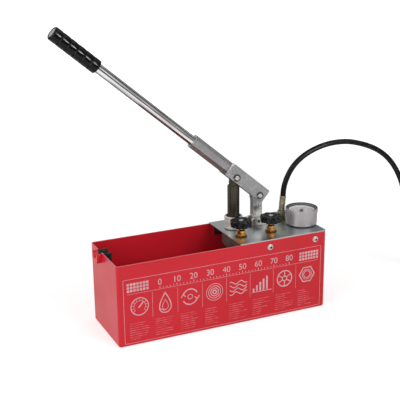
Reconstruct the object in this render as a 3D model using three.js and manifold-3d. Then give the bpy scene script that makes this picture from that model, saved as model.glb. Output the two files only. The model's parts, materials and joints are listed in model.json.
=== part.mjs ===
// Hand-operated hydrostatic test pump: an open sheet steel tank with a plate-mounted plunger pump,
// a long hand lever, two screw valves, a pressure gauge and a high-pressure hose.
// Millimetres, +Z up. The origin is the centre of the tank's underside, +X points to the pump end,
// +Y points away from the side that carries the valves.

import * as THREE from 'three';
import { mergeVertices } from 'three/addons/utils/BufferGeometryUtils.js';
import Module from 'manifold-3d';

const wasm = await Module();
wasm.setup();

// Clearances and facet counts

const gap = 0.3;
const overrun = 4;
const weld = 1e-4;
const sides = { large: 32, middle: 20, small: 16, tiny: 8 };
const bendSteps = 2;
const upright = new THREE.Vector3(0, 0, 1);
const sideways = new THREE.Vector3(0, 1, 0);

// Tank and top plate

const tank = { length: 515, width: 170, height: 189, sheet: 2, cornerBend: 6, floorBend: 5 };

const plate = {
  length: 222, thickness: 2, freeCorner: 2, flangeDepth: 30, flangeSheet: 2, flangeEndInset: 12,
};

const plateScrew = {
  fromPumpEnd: 29.5, spacing: 118, belowRim: 15.5,
  shankRadius: 3, shankLength: 12, washerRadius: 7, washerThickness: 1.4,
  headRadius: 4.8, headHeight: 3.4, headCrown: 1.2, socketAcross: 4, socketDepth: 1.8,
};

// Plunger pump, standing through the plate

const pump = { fromPlateEdge: 36.5, y: 25 };

const plunger = {
  radius: 14, footClearance: 3.165, neckRadius: 10.6, neckBelowPin: 21, neckAbovePin: 12, edge: 1.2, crown: 3,
};

const barrel = {
  wall: 3.4, boreClearance: 0.6, aboveCollarFoot: 12.7, floorHeight: 64.3, floorThickness: 5,
  floorHoleRadius: 5.5, flangeReach: 5, flangeThickness: 5, edge: 1,
  portAboveFloor: 19.7, portRadius: 4, portBossRadius: 8, portBossReach: 8,
};

const collar = {
  wall: 3.25, height: 30.6, edge: 1.4, recessDepth: 7.4, recessWall: 3.9, shoulder: 2.9,
};

const packing = { height: 7, wiperBelowRim: 1.6, wiperHeight: 5.6, wiperLip: 1.6 };

const footValve = {
  wall: 3, top: 74, bottom: 38, neckRadius: 12, neckBottom: 24, hexReach: 1, hexBottom: 46, hexTop: 58,
  inletRadius: 5, seatHeight: 50, chamberRadius: 9, edge: 1.5,
};

const suctionBall = { radius: 7 };

const strainer = {
  radius: 20, wall: 2, bottom: 8, top: 32, slotCount: 12, slotWidth: 3.4, slotBottom: 12, slotTop: 28,
};

// Manifold under the plate, with the riser pipe and the non-return valve that feed it

const manifold = {
  height: 32, armWidth: 22, armInset: 4, barrelWall: 9, valveWall: 8, gaugeWall: 7.6, hoseWall: 7,
  checkWall: 6.8, screwWall: 7.5,
};

const check = {
  fromPump: 52, boreRadius: 7.2, boreDepth: 27, stemLength: 7, hexAcross: 22, hexHeight: 15, inletRadius: 2.6,
  ballRadius: 4.6, ballLift: 2, springRadius: 3.9, springWire: 0.55, springTurns: 4, springSteps: 12,
  springFaces: 5,
};

const riser = { radius: 4, boreRadius: 2.5, bend: 18, socketDepth: 5, steps: 6 };

// Screw valves

const valve = {
  leftFromPump: -11, spacing: 77, y: -36,
  bodyHexAcross: 19, bodyHexHeight: 8.4, shankRadius: 8, shankLength: 24,
  flangeRadius: 13.8, flangeThickness: 1.4,
  glandHexAcross: 17, glandHexHeight: 6, glandConeHeight: 2.4, glandConeRadius: 6.6,
  spindleRadius: 4.4, spindleTipRadius: 1.2, spindleTipLength: 6, spindleBelowPlate: 22,
  knobRadius: 25, knobValley: 3.4, knobLobes: 8, knobThickness: 15.5, knobEdge: 3.2, knobAboveGland: 6.6,
  knobHubRadius: 10, knobHubDrop: 3, knobDishRadius: 14, knobDishDepth: 1.6,
  knobRoof: 4.5, screwHeadRadius: 5, screwHeadHeight: 2.6, screwShankRadius: 2, screwShankLength: 9,
  screwSlotWidth: 1.2, screwSlotDepth: 1.1, lift: 2.25,
};

// Pressure gauge, lying face up

const gauge = {
  overhang: 9, portSpace: 11.5, caseRadius: 36.5, caseWall: 1.5, caseHeight: 32.8,
  bezelWall: 1.2, bezelAboveCase: 6, bezelSkirt: 9, bezelLip: 3.2, bezelLipThickness: 1.4,
  lensThickness: 2, dialThickness: 1, dialBelowLens: 7, dialPlay: 0.6, ringWall: 2.2,
  socketHexAcross: 14, socketHexHeight: 0.8, socketRadius: 6.4, socketDepth: 16, socketReach: 5,
  pivotRadius: 1.2, pivotBelowDial: 4.5,
  hubRadius: 4.4, hubHeight: 3.4, hubBelowLens: 1, pointerShort: 5.2, pointerTail: 9, pointerWidth: 2.2,
  pointerTipWidth: 0.8, pointerThickness: 0.8, restAngle: -135,
};

// Linkage: the lever is pinned to the plunger and swings on an upright link

const linkage = {
  leverAngle: 40.2, leverDown: 52, pinSpacing: 78, footPinAbovePlate: 11.054, linkLength: 64, pinRadius: 4.5,
  pinHeadRadius: 7, pinHeadHeight: 2.4, pinTip: 3.4, footPinRadius: 3.5, footPinTip: 1.6,
  clipRadius: 8.7, clipThickness: 1.4, clipMouth: 4.6, clipBite: 0.6,
};

const link = {
  width: 23.5, thickness: 18, footRadius: 9.2, footTaper: 14, eyeSideWall: 3.1, eyeTopWall: 3.9,
  eyeBelow: 9, eyeTaper: 4, eyeCorner: 6, slotTravel: 5.5, slotRise: 1.6, slotPlay: 0.5,
};

const bracket = {
  length: 34, wall: 6, cheekAbovePin: 8, base: 1.4, cheekCorner: 5, footLength: 10, footThickness: 5,
  screwRadius: 2.5, screwHeadRadius: 4.2, screwHeadHeight: 3, screwSocketAcross: 3, screwSocketDepth: 1.6,
  screwLength: 12,
};

// Hand lever, in its own frame: zero at the plunger's pin, +X down the lever, +Z square to it

const lever = {
  axisAbovePins: 6.3,
  strapPastPlunger: 29, strapWidth: 33, strapThickness: 5, strapPastLink: 15.5, strapCorner: 2.5,
  socketLength: 123, socketTopWall: 5.15, socketSideWall: 1.85, socketBevel: 8.7, socketUnderStrap: 12,
  tubeRadius: 10.65, tubeWall: 2.3, tubeInSocket: 80,
  gripStart: 419, gripLength: 120, gripWall: 5, gripGrooves: 5, grooveWidth: 2.6, grooveDepth: 1.3,
  gripRim: 2.4, tubeShortOfGrip: 3, plugStem: 14, plugHead: 2, plugEdge: 0.8,
};

// Rest for the lowered lever in the tank's end wall

const rest = {
  width: 34, outside: 12, inside: 22, grooveDepth: 4, height: 22, topBelowTube: 1, corner: 7,
  tubeLift: 0.73, troughClearance: 0.7,
};

// High-pressure hose with its fittings

const hose = {
  radius: 6.5, faces: 10, fromPumpEnd: 55.5, portY: 30, lean: 5, adapterHexAcross: 22, adapterHexHeight: 6.4,
  adapterChamfer: 1.4,
  adapterShankRadius: 8, adapterShankLength: 20, neckRadius: 6, neckLength: 9.7, neckBore: 3,
  nutAcross: 19, nutStart: 1.3, nutLength: 14, nutLip: 3, stemRadius: 4.6, collarRadius: 5.7,
  collarLength: 1.6,
  ferruleRadius: 7.5, ferruleStart: 15.6, ferruleLength: 36, crimpCount: 4, crimpDepth: 0.6, crimpPitch: 7,
  ferruleEdge: 1, stemBore: 2.5,
};

const coil = {
  meanRadius: 71.5, centreX: 662, floorGap: 0.3, layerRise: 13.8, lead: 13, turns: 1.5, stepsPerTurn: 24,
  faces: 6, tailRise: 5.5, tailRiseAngle: 45, holdAngle: 50, settleAngle: 165, tail: 40, tailSteps: 3,
};

const endNut = { across: 24, length: 22, boreRadius: 9.4, lip: 3, chamfer: 1.5 };

// Places that follow from the sizes above

const pumpEnd = tank.length / 2;
const leverEnd = -tank.length / 2;
const plateEdge = pumpEnd - plate.length;
const plateUnder = tank.height + gap;
const plateTop = plateUnder + plate.thickness;
const onPlate = plateTop + gap;
const manifoldTop = plateUnder - gap;
const manifoldBottom = manifoldTop - manifold.height;
const pumpX = plateEdge + pump.fromPlateEdge;
const collarTop = onPlate + collar.height;
const barrelTop = onPlate + barrel.aboveCollarFoot;
const plungerRadiusRun = plunger.radius + gap;
const barrelBore = plunger.radius + barrel.boreClearance;
const barrelRadius = barrelBore + barrel.wall;
const barrelFloorTop = barrel.floorHeight + barrel.floorThickness;
const collarRadius = barrelRadius + collar.wall;

const leverRadians = THREE.MathUtils.degToRad(linkage.leverAngle);
const linkReach = linkage.pinSpacing * Math.cos(leverRadians);
const linkX = pumpX + linkReach;
const footPinHeight = onPlate + linkage.footPinAbovePlate;

// Height of the plunger's pin for an angle of the lever, with the link standing on its foot pin
function pinHeightAt(angle) {
  const lean = linkage.pinSpacing * Math.cos(angle) - linkReach;
  const rise = Math.sqrt(linkage.linkLength ** 2 - lean ** 2);
  return footPinHeight + rise + linkage.pinSpacing * Math.sin(angle);
}

const loweredDegrees = linkage.leverDown - linkage.leverAngle;
const loweredRadians = THREE.MathUtils.degToRad(loweredDegrees);
const pinHeight = pinHeightAt(leverRadians);
const lowestPinHeight = pinHeightAt(-loweredRadians);
const plungerFoot = barrelFloorTop + plunger.footClearance + pinHeight - lowestPinHeight;
const socketHalfWidth = lever.tubeRadius + lever.socketSideWall;
const socketHalfHeight = lever.tubeRadius + lever.socketTopWall;
const gripRadius = lever.tubeRadius + lever.gripWall;
const strapInner = socketHalfWidth + gap;
const strapOuter = strapInner + lever.strapThickness;

const leftValveX = pumpX + valve.leftFromPump;
const rightValveX = leftValveX + valve.spacing;
const portX = pumpEnd - hose.fromPumpEnd;
const gaugeX = pumpEnd + gauge.overhang - gauge.caseRadius;
const gaugeY = hose.portY - gauge.portSpace - gauge.caseRadius;
const checkX = pumpX + check.fromPump;

const checkBottom = manifoldBottom - gap - check.hexHeight;
const checkSeat = manifoldBottom + check.stemLength;
const checkBallHeight = checkSeat + Math.sqrt(check.ballRadius ** 2 - check.inletRadius ** 2) + gap;
const checkRoof = manifoldBottom + check.boreDepth;
const portHeight = barrel.floorHeight + barrel.portAboveFloor;

// Finishes

const finishes = {
  redPaint: { color: 0xb01c26, roughness: 0.35, metalness: 0.1 },
  plated: { color: 0xb9bcbc, roughness: 0.22, metalness: 0.9 },
  zinc: { color: 0x9a9a98, roughness: 0.42, metalness: 0.85 },
  brightTube: { color: 0xc4c6c8, roughness: 0.25, metalness: 0.9 },
  plungerSteel: { color: 0x4a493e, roughness: 0.38, metalness: 0.7 },
  castIron: { color: 0x55534d, roughness: 0.6, metalness: 0.6 },
  brass: { color: 0xb08538, roughness: 0.3, metalness: 0.9 },
  blackPlastic: { color: 0x101012, roughness: 0.25, metalness: 0 },
  rubber: { color: 0x161616, roughness: 0.6, metalness: 0 },
  darkSteel: { color: 0x2c2c2e, roughness: 0.4, metalness: 0.8 },
  gaugeGrey: { color: 0x97949a, roughness: 0.4, metalness: 0.6 },
  dialWhite: { color: 0xe9e6e2, roughness: 0.6, metalness: 0 },
  clear: { color: 0xf2f4f4, roughness: 0.05, metalness: 0 },
  crimped: { color: 0x8c8570, roughness: 0.45, metalness: 0.7 },
  greyPlastic: { color: 0xa8a8a6, roughness: 0.5, metalness: 0 },
};

// Solids: three.js geometry in, joined and cut, three.js geometry out

function toSolid(geometry) {
  const bare = geometry.clone();
  for (const name of Object.keys(bare.attributes)) {
    if (name !== 'position') bare.deleteAttribute(name);
  }
  const merged = mergeVertices(bare, weld);
  const corners = merged.index.array;
  const places = merged.attributes.position.array;
  const kept = [];
  let volume = 0;
  for (let i = 0; i < corners.length; i += 3) {
    const [a, b, c] = [corners[i], corners[i + 1], corners[i + 2]];
    if (a === b || b === c || c === a) continue;
    kept.push(a, b, c);
    volume += signedVolume(places, a, b, c);
  }
  if (volume < 0) {
    for (let i = 0; i < kept.length; i += 3) [kept[i], kept[i + 1]] = [kept[i + 1], kept[i]];
  }
  return new wasm.Manifold(new wasm.Mesh({
    numProp: 3, vertProperties: Float32Array.from(places), triVerts: Uint32Array.from(kept),
  }));
}

function signedVolume(places, a, b, c) {
  const p = new THREE.Vector3().fromArray(places, 3 * a);
  const q = new THREE.Vector3().fromArray(places, 3 * b);
  const r = new THREE.Vector3().fromArray(places, 3 * c);
  return p.dot(q.cross(r));
}

function toGeometry(solid) {
  const mesh = solid.getMesh();
  const geometry = new THREE.BufferGeometry();
  geometry.setAttribute('position', new THREE.BufferAttribute(Float32Array.from(mesh.vertProperties), 3));
  geometry.setIndex(new THREE.BufferAttribute(Uint32Array.from(mesh.triVerts), 1));
  geometry.computeVertexNormals();
  return geometry;
}

const join = (first, ...others) => others.reduce((whole, next) => whole.add(next), first);
const cut = (body, ...cutters) => cutters.reduce((left, cutter) => left.subtract(cutter), body);

function block(lowX, highX, lowY, highY, lowZ, highZ) {
  const box = new THREE.BoxGeometry(highX - lowX, highY - lowY, highZ - lowZ);
  box.translate((lowX + highX) / 2, (lowY + highY) / 2, (lowZ + highZ) / 2);
  return toSolid(box);
}

function rod(radius, lowZ, highZ, faces = sides.small) {
  const cylinder = new THREE.CylinderGeometry(radius, radius, highZ - lowZ, faces);
  cylinder.rotateX(Math.PI / 2);
  cylinder.translate(0, 0, (lowZ + highZ) / 2);
  return toSolid(cylinder);
}

function rodAlongY(radius, lowY, highY, faces = sides.small) {
  const cylinder = new THREE.CylinderGeometry(radius, radius, highY - lowY, faces);
  cylinder.translate(0, (lowY + highY) / 2, 0);
  return toSolid(cylinder);
}

function rodAlongX(radius, lowX, highX, faces = sides.small) {
  const cylinder = new THREE.CylinderGeometry(radius, radius, highX - lowX, faces);
  cylinder.rotateZ(Math.PI / 2);
  cylinder.translate((lowX + highX) / 2, 0, 0);
  return toSolid(cylinder);
}

// A profile of radius and height pairs, turned about the Z axis; ring profiles close on themselves
function turned(profile, faces = sides.middle) {
  const points = profile.map(([radius, height]) => new THREE.Vector2(radius, height));
  const onAxis = points[0].x === 0 && points.at(-1).x === 0;
  if (!onAxis) points.push(points[0].clone());
  const lathe = new THREE.LatheGeometry(points, faces);
  lathe.rotateX(Math.PI / 2);
  return toSolid(lathe);
}

const tube = (inner, outer, lowZ, highZ, faces = sides.middle) =>
  turned([[inner, lowZ], [outer, lowZ], [outer, highZ], [inner, highZ]], faces);

function prism(shape, lowZ, highZ, curveSegments = bendSteps) {
  const settings = { depth: highZ - lowZ, bevelEnabled: false, curveSegments };
  const geometry = new THREE.ExtrudeGeometry(shape, settings);
  geometry.translate(0, 0, lowZ);
  return toSolid(geometry);
}

// A shape drawn in X and Z, carried along Y
function prismAlongY(shape, lowY, highY, curveSegments = bendSteps) {
  const settings = { depth: highY - lowY, bevelEnabled: false, curveSegments };
  const geometry = new THREE.ExtrudeGeometry(shape, settings);
  geometry.rotateX(Math.PI / 2);
  geometry.translate(0, highY, 0);
  return toSolid(geometry);
}

// A shape drawn in Y and Z, carried along X
function prismAlongX(shape, lowX, highX, curveSegments = bendSteps) {
  const settings = { depth: highX - lowX, bevelEnabled: false, curveSegments };
  const geometry = new THREE.ExtrudeGeometry(shape, settings);
  geometry.rotateX(Math.PI / 2);
  geometry.rotateZ(Math.PI / 2);
  geometry.translate(lowX, 0, 0);
  return toSolid(geometry);
}

// Rounded outline, each corner with a radius of its own: low-low, high-low, high-high, low-high
function roundedOutline(lowX, highX, lowY, highY, radii) {
  const [a, b, c, d] = Array.isArray(radii) ? radii : [radii, radii, radii, radii];
  const shape = new THREE.Shape();
  shape.moveTo(lowX + a, lowY);
  shape.lineTo(highX - b, lowY);
  if (b > 0) shape.absarc(highX - b, lowY + b, b, -Math.PI / 2, 0, false);
  shape.lineTo(highX, highY - c);
  if (c > 0) shape.absarc(highX - c, highY - c, c, 0, Math.PI / 2, false);
  shape.lineTo(lowX + d, highY);
  if (d > 0) shape.absarc(lowX + d, highY - d, d, Math.PI / 2, Math.PI, false);
  shape.lineTo(lowX, lowY + a);
  if (a > 0) shape.absarc(lowX + a, lowY + a, a, Math.PI, 1.5 * Math.PI, false);
  return shape;
}

function hexagon(acrossFlats) {
  const corner = acrossFlats / Math.sqrt(3);
  const shape = new THREE.Shape();
  for (let i = 0; i < 6; i += 1) {
    const angle = (i * Math.PI) / 3;
    const [x, y] = [corner * Math.cos(angle), corner * Math.sin(angle)];
    if (i === 0) shape.moveTo(x, y);
    else shape.lineTo(x, y);
  }
  shape.closePath();
  return shape;
}

// A hexagon bar whose top corners are turned off, as on a nut
function hexBar(acrossFlats, lowZ, highZ, chamfer = 0) {
  const bar = prism(hexagon(acrossFlats), lowZ, highZ);
  if (chamfer === 0) return bar;
  const corner = acrossFlats / Math.sqrt(3);
  const flat = acrossFlats / 2;
  const turn = turned([
    [0, lowZ], [corner + chamfer, lowZ], [corner + chamfer, highZ - chamfer], [flat, highZ], [0, highZ],
  ]);
  return bar.intersect(turn);
}

// Scene

const model = new THREE.Group();

function add(name, solidOrGeometry, finish, parent = model) {
  const geometry = solidOrGeometry.isBufferGeometry ? solidOrGeometry : toGeometry(solidOrGeometry);
  const mesh = new THREE.Mesh(geometry, new THREE.MeshStandardMaterial(finishes[finish]));
  mesh.name = name;
  parent.add(mesh);
  return mesh;
}

// Tank

// A block with upright corner bends and bent lower edges, which makes the tank's outside and inside
function foldedBlock(inset, floor, top) {
  const [halfX, halfY] = [tank.length / 2 - inset, tank.width / 2 - inset];
  const corner = tank.cornerBend - inset;
  const lower = tank.floorBend - inset;
  const walls = prism(roundedOutline(-halfX, halfX, -halfY, halfY, corner), floor, top);
  const acrossShape = roundedOutline(-halfY, halfY, floor, top, [lower, lower, 0, 0]);
  const alongShape = roundedOutline(-halfX, halfX, floor, top, [lower, lower, 0, 0]);
  const across = prismAlongX(acrossShape, -halfX, halfX);
  const along = prismAlongY(alongShape, -halfY, halfY);
  return walls.intersect(across).intersect(along);
}

const screwPlaces = [];
for (const [side, direction] of [['front', -1], ['rear', 1]]) {
  for (const [end, steps] of [['left', 1], ['right', 0]]) {
    screwPlaces.push({
      name: `plate_screw_${side}_${end}`,
      x: pumpEnd - plateScrew.fromPumpEnd - steps * plateScrew.spacing,
      direction,
    });
  }
}
const screwHeight = tank.height - plateScrew.belowRim;

function screwHole(x) {
  const reach = tank.width / 2 + overrun;
  return rodAlongY(plateScrew.shankRadius + gap, -reach, reach).translate([x, 0, screwHeight]);
}

const restX = leverEnd + tank.sheet / 2;
const loweredTube = lowestPinHeight + lever.axisAbovePins / Math.cos(loweredRadians);
const restTubeHeight = loweredTube + rest.tubeLift - (pumpX - restX) * Math.tan(loweredRadians);
const restTop = restTubeHeight - rest.topBelowTube;
const restBottom = restTop - rest.height;
const restNeckBottom = restBottom + rest.grooveDepth;
const restNeckHalf = rest.width / 2 - rest.grooveDepth;

function restNeck(clearance) {
  const half = restNeckHalf + clearance;
  const corner = rest.corner - rest.grooveDepth + clearance;
  const foot = restNeckBottom - clearance;
  const top = tank.height + rest.height;
  const shape = roundedOutline(pump.y - half, pump.y + half, foot, top, [corner, corner, 0, 0]);
  return prismAlongX(shape, leverEnd - rest.outside - overrun, leverEnd + rest.inside + overrun);
}

function makeTank() {
  const outside = foldedBlock(0, 0, tank.height);
  const inside = foldedBlock(tank.sheet, tank.sheet, tank.height + overrun);
  const holes = screwPlaces.filter((place) => place.direction < 0).map((place) => screwHole(place.x));
  return cut(outside, inside, restNeck(gap), ...holes);
}

function makePlateScrew(direction) {
  const face = gap;
  const washer = rodAlongY(plateScrew.washerRadius, face, face + plateScrew.washerThickness, sides.small);
  const headFoot = face + plateScrew.washerThickness;
  const headTop = headFoot + plateScrew.headHeight;
  const crown = plateScrew.headRadius - plateScrew.headCrown;
  const head = turned([
    [0, face], [plateScrew.headRadius, face], [plateScrew.headRadius, headTop - plateScrew.headCrown],
    [crown, headTop], [0, headTop]], sides.small).rotate([-90, 0, 0]);
  const shank = rodAlongY(plateScrew.shankRadius, -plateScrew.shankLength, headFoot, sides.tiny);
  const socketFoot = headTop - plateScrew.socketDepth;
  const socket = prism(hexagon(plateScrew.socketAcross), socketFoot, headTop + overrun).rotate([-90, 0, 0]);
  const screw = cut(join(washer, head, shank), socket);
  return direction > 0 ? screw : screw.rotate([0, 0, 180]);
}

add('tank', makeTank(), 'redPaint');
for (const place of screwPlaces) {
  const screw = add(place.name, makePlateScrew(place.direction), 'zinc');
  screw.position.set(place.x, (place.direction * tank.width) / 2, screwHeight);
}

// Rest for the lowered lever

function makeRest() {
  const half = rest.width / 2;
  const [low, high] = [pump.y - half, pump.y + half];
  const outline = roundedOutline(low, high, restBottom, restTop, [rest.corner, rest.corner, 0, 0]);
  const body = prismAlongX(outline, leverEnd - rest.outside, leverEnd + rest.inside);
  const [outerFace, innerFace] = [leverEnd - gap, leverEnd + tank.sheet + gap];
  const slab = block(outerFace, innerFace, low - overrun, high + overrun, 0, tank.height + rest.height);
  const groove = cut(slab, restNeck(0));
  const trough = rodAlongX(lever.tubeRadius + rest.troughClearance, -tank.width, tank.width, sides.middle)
    .rotate([0, -loweredDegrees, 0])
    .translate([restX, pump.y, restTubeHeight]);
  return cut(body, groove, trough);
}

add('handle_rest', makeRest(), 'blackPlastic');

// Top plate

function makePlate() {
  const half = tank.width / 2;
  const corners = [plate.freeCorner, tank.cornerBend, tank.cornerBend, plate.freeCorner];
  const outline = roundedOutline(plateEdge, pumpEnd, -half, half, corners);
  const sheet = prism(outline, plateUnder, plateTop);
  const flangeOuter = half - tank.sheet - gap;
  const flanges = [-1, 1].map((side) => {
    const [a, b] = [side * flangeOuter, side * (flangeOuter - plate.flangeSheet)];
    return block(plateEdge + plate.flangeEndInset, pumpEnd - plate.flangeEndInset,
      Math.min(a, b), Math.max(a, b), plateUnder - plate.flangeDepth, plateTop);
  });
  const throughPlate = (radius, x, y, faces) =>
    rod(radius + gap, plateUnder - overrun, plateTop + overrun, faces).translate([x, y, 0]);
  const holes = [
    throughPlate(barrelRadius, pumpX, pump.y, sides.large),
    throughPlate(valve.shankRadius, leftValveX, valve.y),
    throughPlate(valve.shankRadius, rightValveX, valve.y),
    throughPlate(gauge.socketRadius, gaugeX, gaugeY),
    throughPlate(hose.adapterShankRadius, portX, hose.portY),
    ...bracketScrewPlaces.map((x) => throughPlate(bracket.screwRadius, x, pump.y, sides.tiny)),
  ];
  const screwHoles = screwPlaces.filter((place) => place.direction < 0).map((place) => screwHole(place.x));
  return cut(join(sheet, ...flanges), ...holes, ...screwHoles);
}

const bracketScrewReach = bracket.length / 2 + bracket.footLength / 2;
const bracketScrewPlaces = [linkX - bracketScrewReach, linkX + bracketScrewReach];

add('top_plate', makePlate(), 'plated');

// Manifold

function makeManifold() {
  const places = {
    barrel: [pumpX, pump.y, barrelRadius + manifold.barrelWall],
    leftValve: [leftValveX, valve.y, valve.shankRadius + manifold.valveWall],
    rightValve: [rightValveX, valve.y, valve.shankRadius + manifold.valveWall],
    check: [checkX, pump.y, check.boreRadius + manifold.checkWall],
    screw: [bracketScrewPlaces[1], pump.y, bracket.screwRadius + manifold.screwWall],
    gauge: [gaugeX, gaugeY, gauge.socketRadius + manifold.gaugeWall],
    hose: [portX, hose.portY, hose.adapterShankRadius + manifold.hoseWall],
  };
  const arms = [
    ['barrel', 'leftValve'], ['barrel', 'check'], ['check', 'rightValve'], ['check', 'screw'],
    ['screw', 'hose'], ['hose', 'gauge'],
  ];
  const bosses = Object.values(places).map(([x, y, radius]) =>
    rod(radius, manifoldBottom, manifoldTop, sides.small).translate([x, y, 0]));
  const webs = arms.map(([from, to]) => {
    const [x1, y1] = places[from];
    const [x2, y2] = places[to];
    const length = Math.hypot(x2 - x1, y2 - y1);
    const angle = THREE.MathUtils.radToDeg(Math.atan2(y2 - y1, x2 - x1));
    const half = manifold.armWidth / 2;
    const [armFoot, armTop] = [manifoldBottom + manifold.armInset, manifoldTop - manifold.armInset];
    return block(0, length, -half, half, armFoot, armTop).rotate([0, 0, angle]).translate([x1, y1, 0]);
  });
  const fromTop = (radius, depth, x, y, faces) =>
    rod(radius + gap, manifoldTop - depth, manifoldTop + overrun, faces).translate([x, y, 0]);
  const valveDepth = valve.shankLength - plate.thickness;
  const holes = [
    fromTop(barrelRadius, manifold.height + overrun, pumpX, pump.y, sides.large),
    fromTop(valve.shankRadius, valveDepth, leftValveX, valve.y),
    fromTop(valve.shankRadius, valveDepth, rightValveX, valve.y),
    fromTop(gauge.socketRadius, gauge.socketDepth, gaugeX, gaugeY),
    fromTop(hose.adapterShankRadius, hose.adapterShankLength, portX, hose.portY),
    ...bracketScrewPlaces.map((x) =>
      fromTop(bracket.screwRadius, bracket.screwLength, x, pump.y, sides.tiny)),
    rod(check.boreRadius, manifoldBottom - overrun, checkRoof).translate([checkX, pump.y, 0]),
  ];
  return cut(join(...bosses, ...webs), ...holes);
}

add('manifold', makeManifold(), 'castIron');

// Pump barrel, gland collar and seals

const pumpGroup = new THREE.Group();
pumpGroup.position.set(pumpX, pump.y, 0);
model.add(pumpGroup);

function makeBarrel() {
  const flangeTop = manifoldBottom - gap;
  const flangeFoot = flangeTop - barrel.flangeThickness;
  const flangeRadius = barrelRadius + barrel.flangeReach;
  const body = turned([
    [barrel.floorHoleRadius, barrel.floorHeight], [barrelRadius - barrel.edge, barrel.floorHeight],
    [barrelRadius, barrel.floorHeight + barrel.edge], [barrelRadius, flangeFoot],
    [flangeRadius, flangeFoot], [flangeRadius, flangeTop], [barrelRadius, flangeTop],
    [barrelRadius, barrelTop - barrel.edge], [barrelRadius - barrel.edge, barrelTop],
    [barrelBore, barrelTop], [barrelBore, barrelFloorTop], [barrel.floorHoleRadius, barrelFloorTop],
  ], sides.large);
  const bossEnd = barrelRadius + barrel.portBossReach;
  const boss = rodAlongX(barrel.portBossRadius, (barrelRadius + barrelBore) / 2, bossEnd)
    .translate([0, 0, portHeight]);
  const port = rodAlongX(barrel.portRadius - gap, 0, bossEnd + overrun, sides.tiny)
    .translate([0, 0, portHeight]);
  const pipeSeat = rodAlongX(riser.radius + gap, bossEnd - riser.socketDepth, bossEnd + overrun)
    .translate([0, 0, portHeight]);
  return cut(join(body, boss), port, pipeSeat);
}

function makeCollar() {
  const recessFloor = collarTop - collar.recessDepth;
  const shoulderFoot = recessFloor - collar.shoulder;
  const recessRadius = collarRadius - collar.recessWall;
  return turned([
    [barrelRadius + gap, onPlate], [collarRadius - collar.edge, onPlate],
    [collarRadius, onPlate + collar.edge],
    [collarRadius, collarTop - collar.edge], [collarRadius - collar.edge, collarTop],
    [recessRadius, collarTop], [recessRadius, recessFloor], [plungerRadiusRun, recessFloor],
    [plungerRadiusRun, shoulderFoot], [barrelRadius + gap, shoulderFoot],
  ], sides.large);
}

function makeWiper() {
  const outer = collarRadius - collar.recessWall - gap;
  const foot = collarTop - collar.recessDepth + gap;
  const top = foot + packing.wiperHeight;
  return turned([
    [plungerRadiusRun, foot], [outer, foot], [outer, top - packing.wiperLip],
    [plungerRadiusRun + packing.wiperLip, top], [plungerRadiusRun, top],
  ], sides.large);
}

add('pump_barrel', makeBarrel(), 'castIron', pumpGroup);
add('gland_collar', makeCollar(), 'plated', pumpGroup);
add('plunger_wiper', makeWiper(), 'rubber', pumpGroup);
const packingFoot = barrelTop + gap;
const packingTop = packingFoot + packing.height;
const packingRings = tube(plungerRadiusRun, barrelRadius, packingFoot, packingTop, sides.large);
add('plunger_packing', packingRings, 'rubber', pumpGroup);

function makePlunger() {
  const neckFoot = pinHeight - plunger.neckBelowPin;
  const top = pinHeight + plunger.neckAbovePin;
  const foot = plungerFoot;
  const body = turned([
    [0, foot], [plunger.radius - plunger.edge, foot], [plunger.radius, foot + plunger.edge],
    [plunger.radius, neckFoot - plunger.edge], [plunger.radius - plunger.edge, neckFoot],
    [plunger.neckRadius, neckFoot], [plunger.neckRadius, top - plunger.crown],
    [plunger.neckRadius - plunger.crown, top], [0, top],
  ], sides.large);
  const eye = rodAlongY(linkage.pinRadius + gap, -plunger.radius, plunger.radius);
  return cut(body, eye.translate([0, 0, pinHeight]));
}

add('plunger', makePlunger(), 'plungerSteel', pumpGroup);

// Foot valve and strainer

function makeFootValve() {
  const barrelSeat = barrel.floorHeight - gap;
  const outer = barrelRadius + footValve.wall;
  const body = turned([
    [footValve.inletRadius, footValve.neckBottom], [footValve.neckRadius, footValve.neckBottom],
    [footValve.neckRadius, footValve.bottom], [outer - footValve.edge, footValve.bottom],
    [outer, footValve.bottom + footValve.edge], [outer, footValve.top - footValve.edge],
    [outer - footValve.edge, footValve.top], [barrelRadius + 2 * gap, footValve.top],
    [barrelRadius + 2 * gap, barrelSeat], [footValve.chamberRadius, barrelSeat],
    [footValve.chamberRadius, footValve.seatHeight], [footValve.inletRadius, footValve.seatHeight],
  ], sides.middle);
  const ring = cut(prism(hexagon(2 * (outer + footValve.hexReach)), footValve.hexBottom, footValve.hexTop),
    rod(outer - footValve.edge, 0, footValve.top, sides.middle));
  return join(body, ring);
}

function makeStrainer() {
  const inner = strainer.radius - strainer.wall;
  const neck = footValve.neckRadius + gap;
  const shell = turned([
    [0, strainer.bottom], [strainer.radius, strainer.bottom], [strainer.radius, strainer.top],
    [neck, strainer.top], [neck, strainer.top - strainer.wall], [inner, strainer.top - strainer.wall],
    [inner, strainer.bottom + strainer.wall], [0, strainer.bottom + strainer.wall],
  ], strainer.slotCount * 2);
  const slots = Array.from({ length: strainer.slotCount }, (_, i) =>
    block(inner - overrun, strainer.radius + overrun, -strainer.slotWidth / 2, strainer.slotWidth / 2,
      strainer.slotBottom, strainer.slotTop).rotate([0, 0, ((i + 1 / 4) * 360) / strainer.slotCount]));
  return cut(shell, ...slots);
}

add('foot_valve_body', makeFootValve(), 'brass', pumpGroup);
add('suction_strainer', makeStrainer(), 'brass', pumpGroup);

const ballSeatRise = Math.sqrt(suctionBall.radius ** 2 - footValve.inletRadius ** 2);
const suctionBallMesh = add('suction_ball',
  toSolid(new THREE.SphereGeometry(suctionBall.radius, sides.small, sides.tiny)), 'darkSteel', pumpGroup);
suctionBallMesh.position.z = footValve.seatHeight + ballSeatRise + gap;

// Riser pipe and non-return valve

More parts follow.
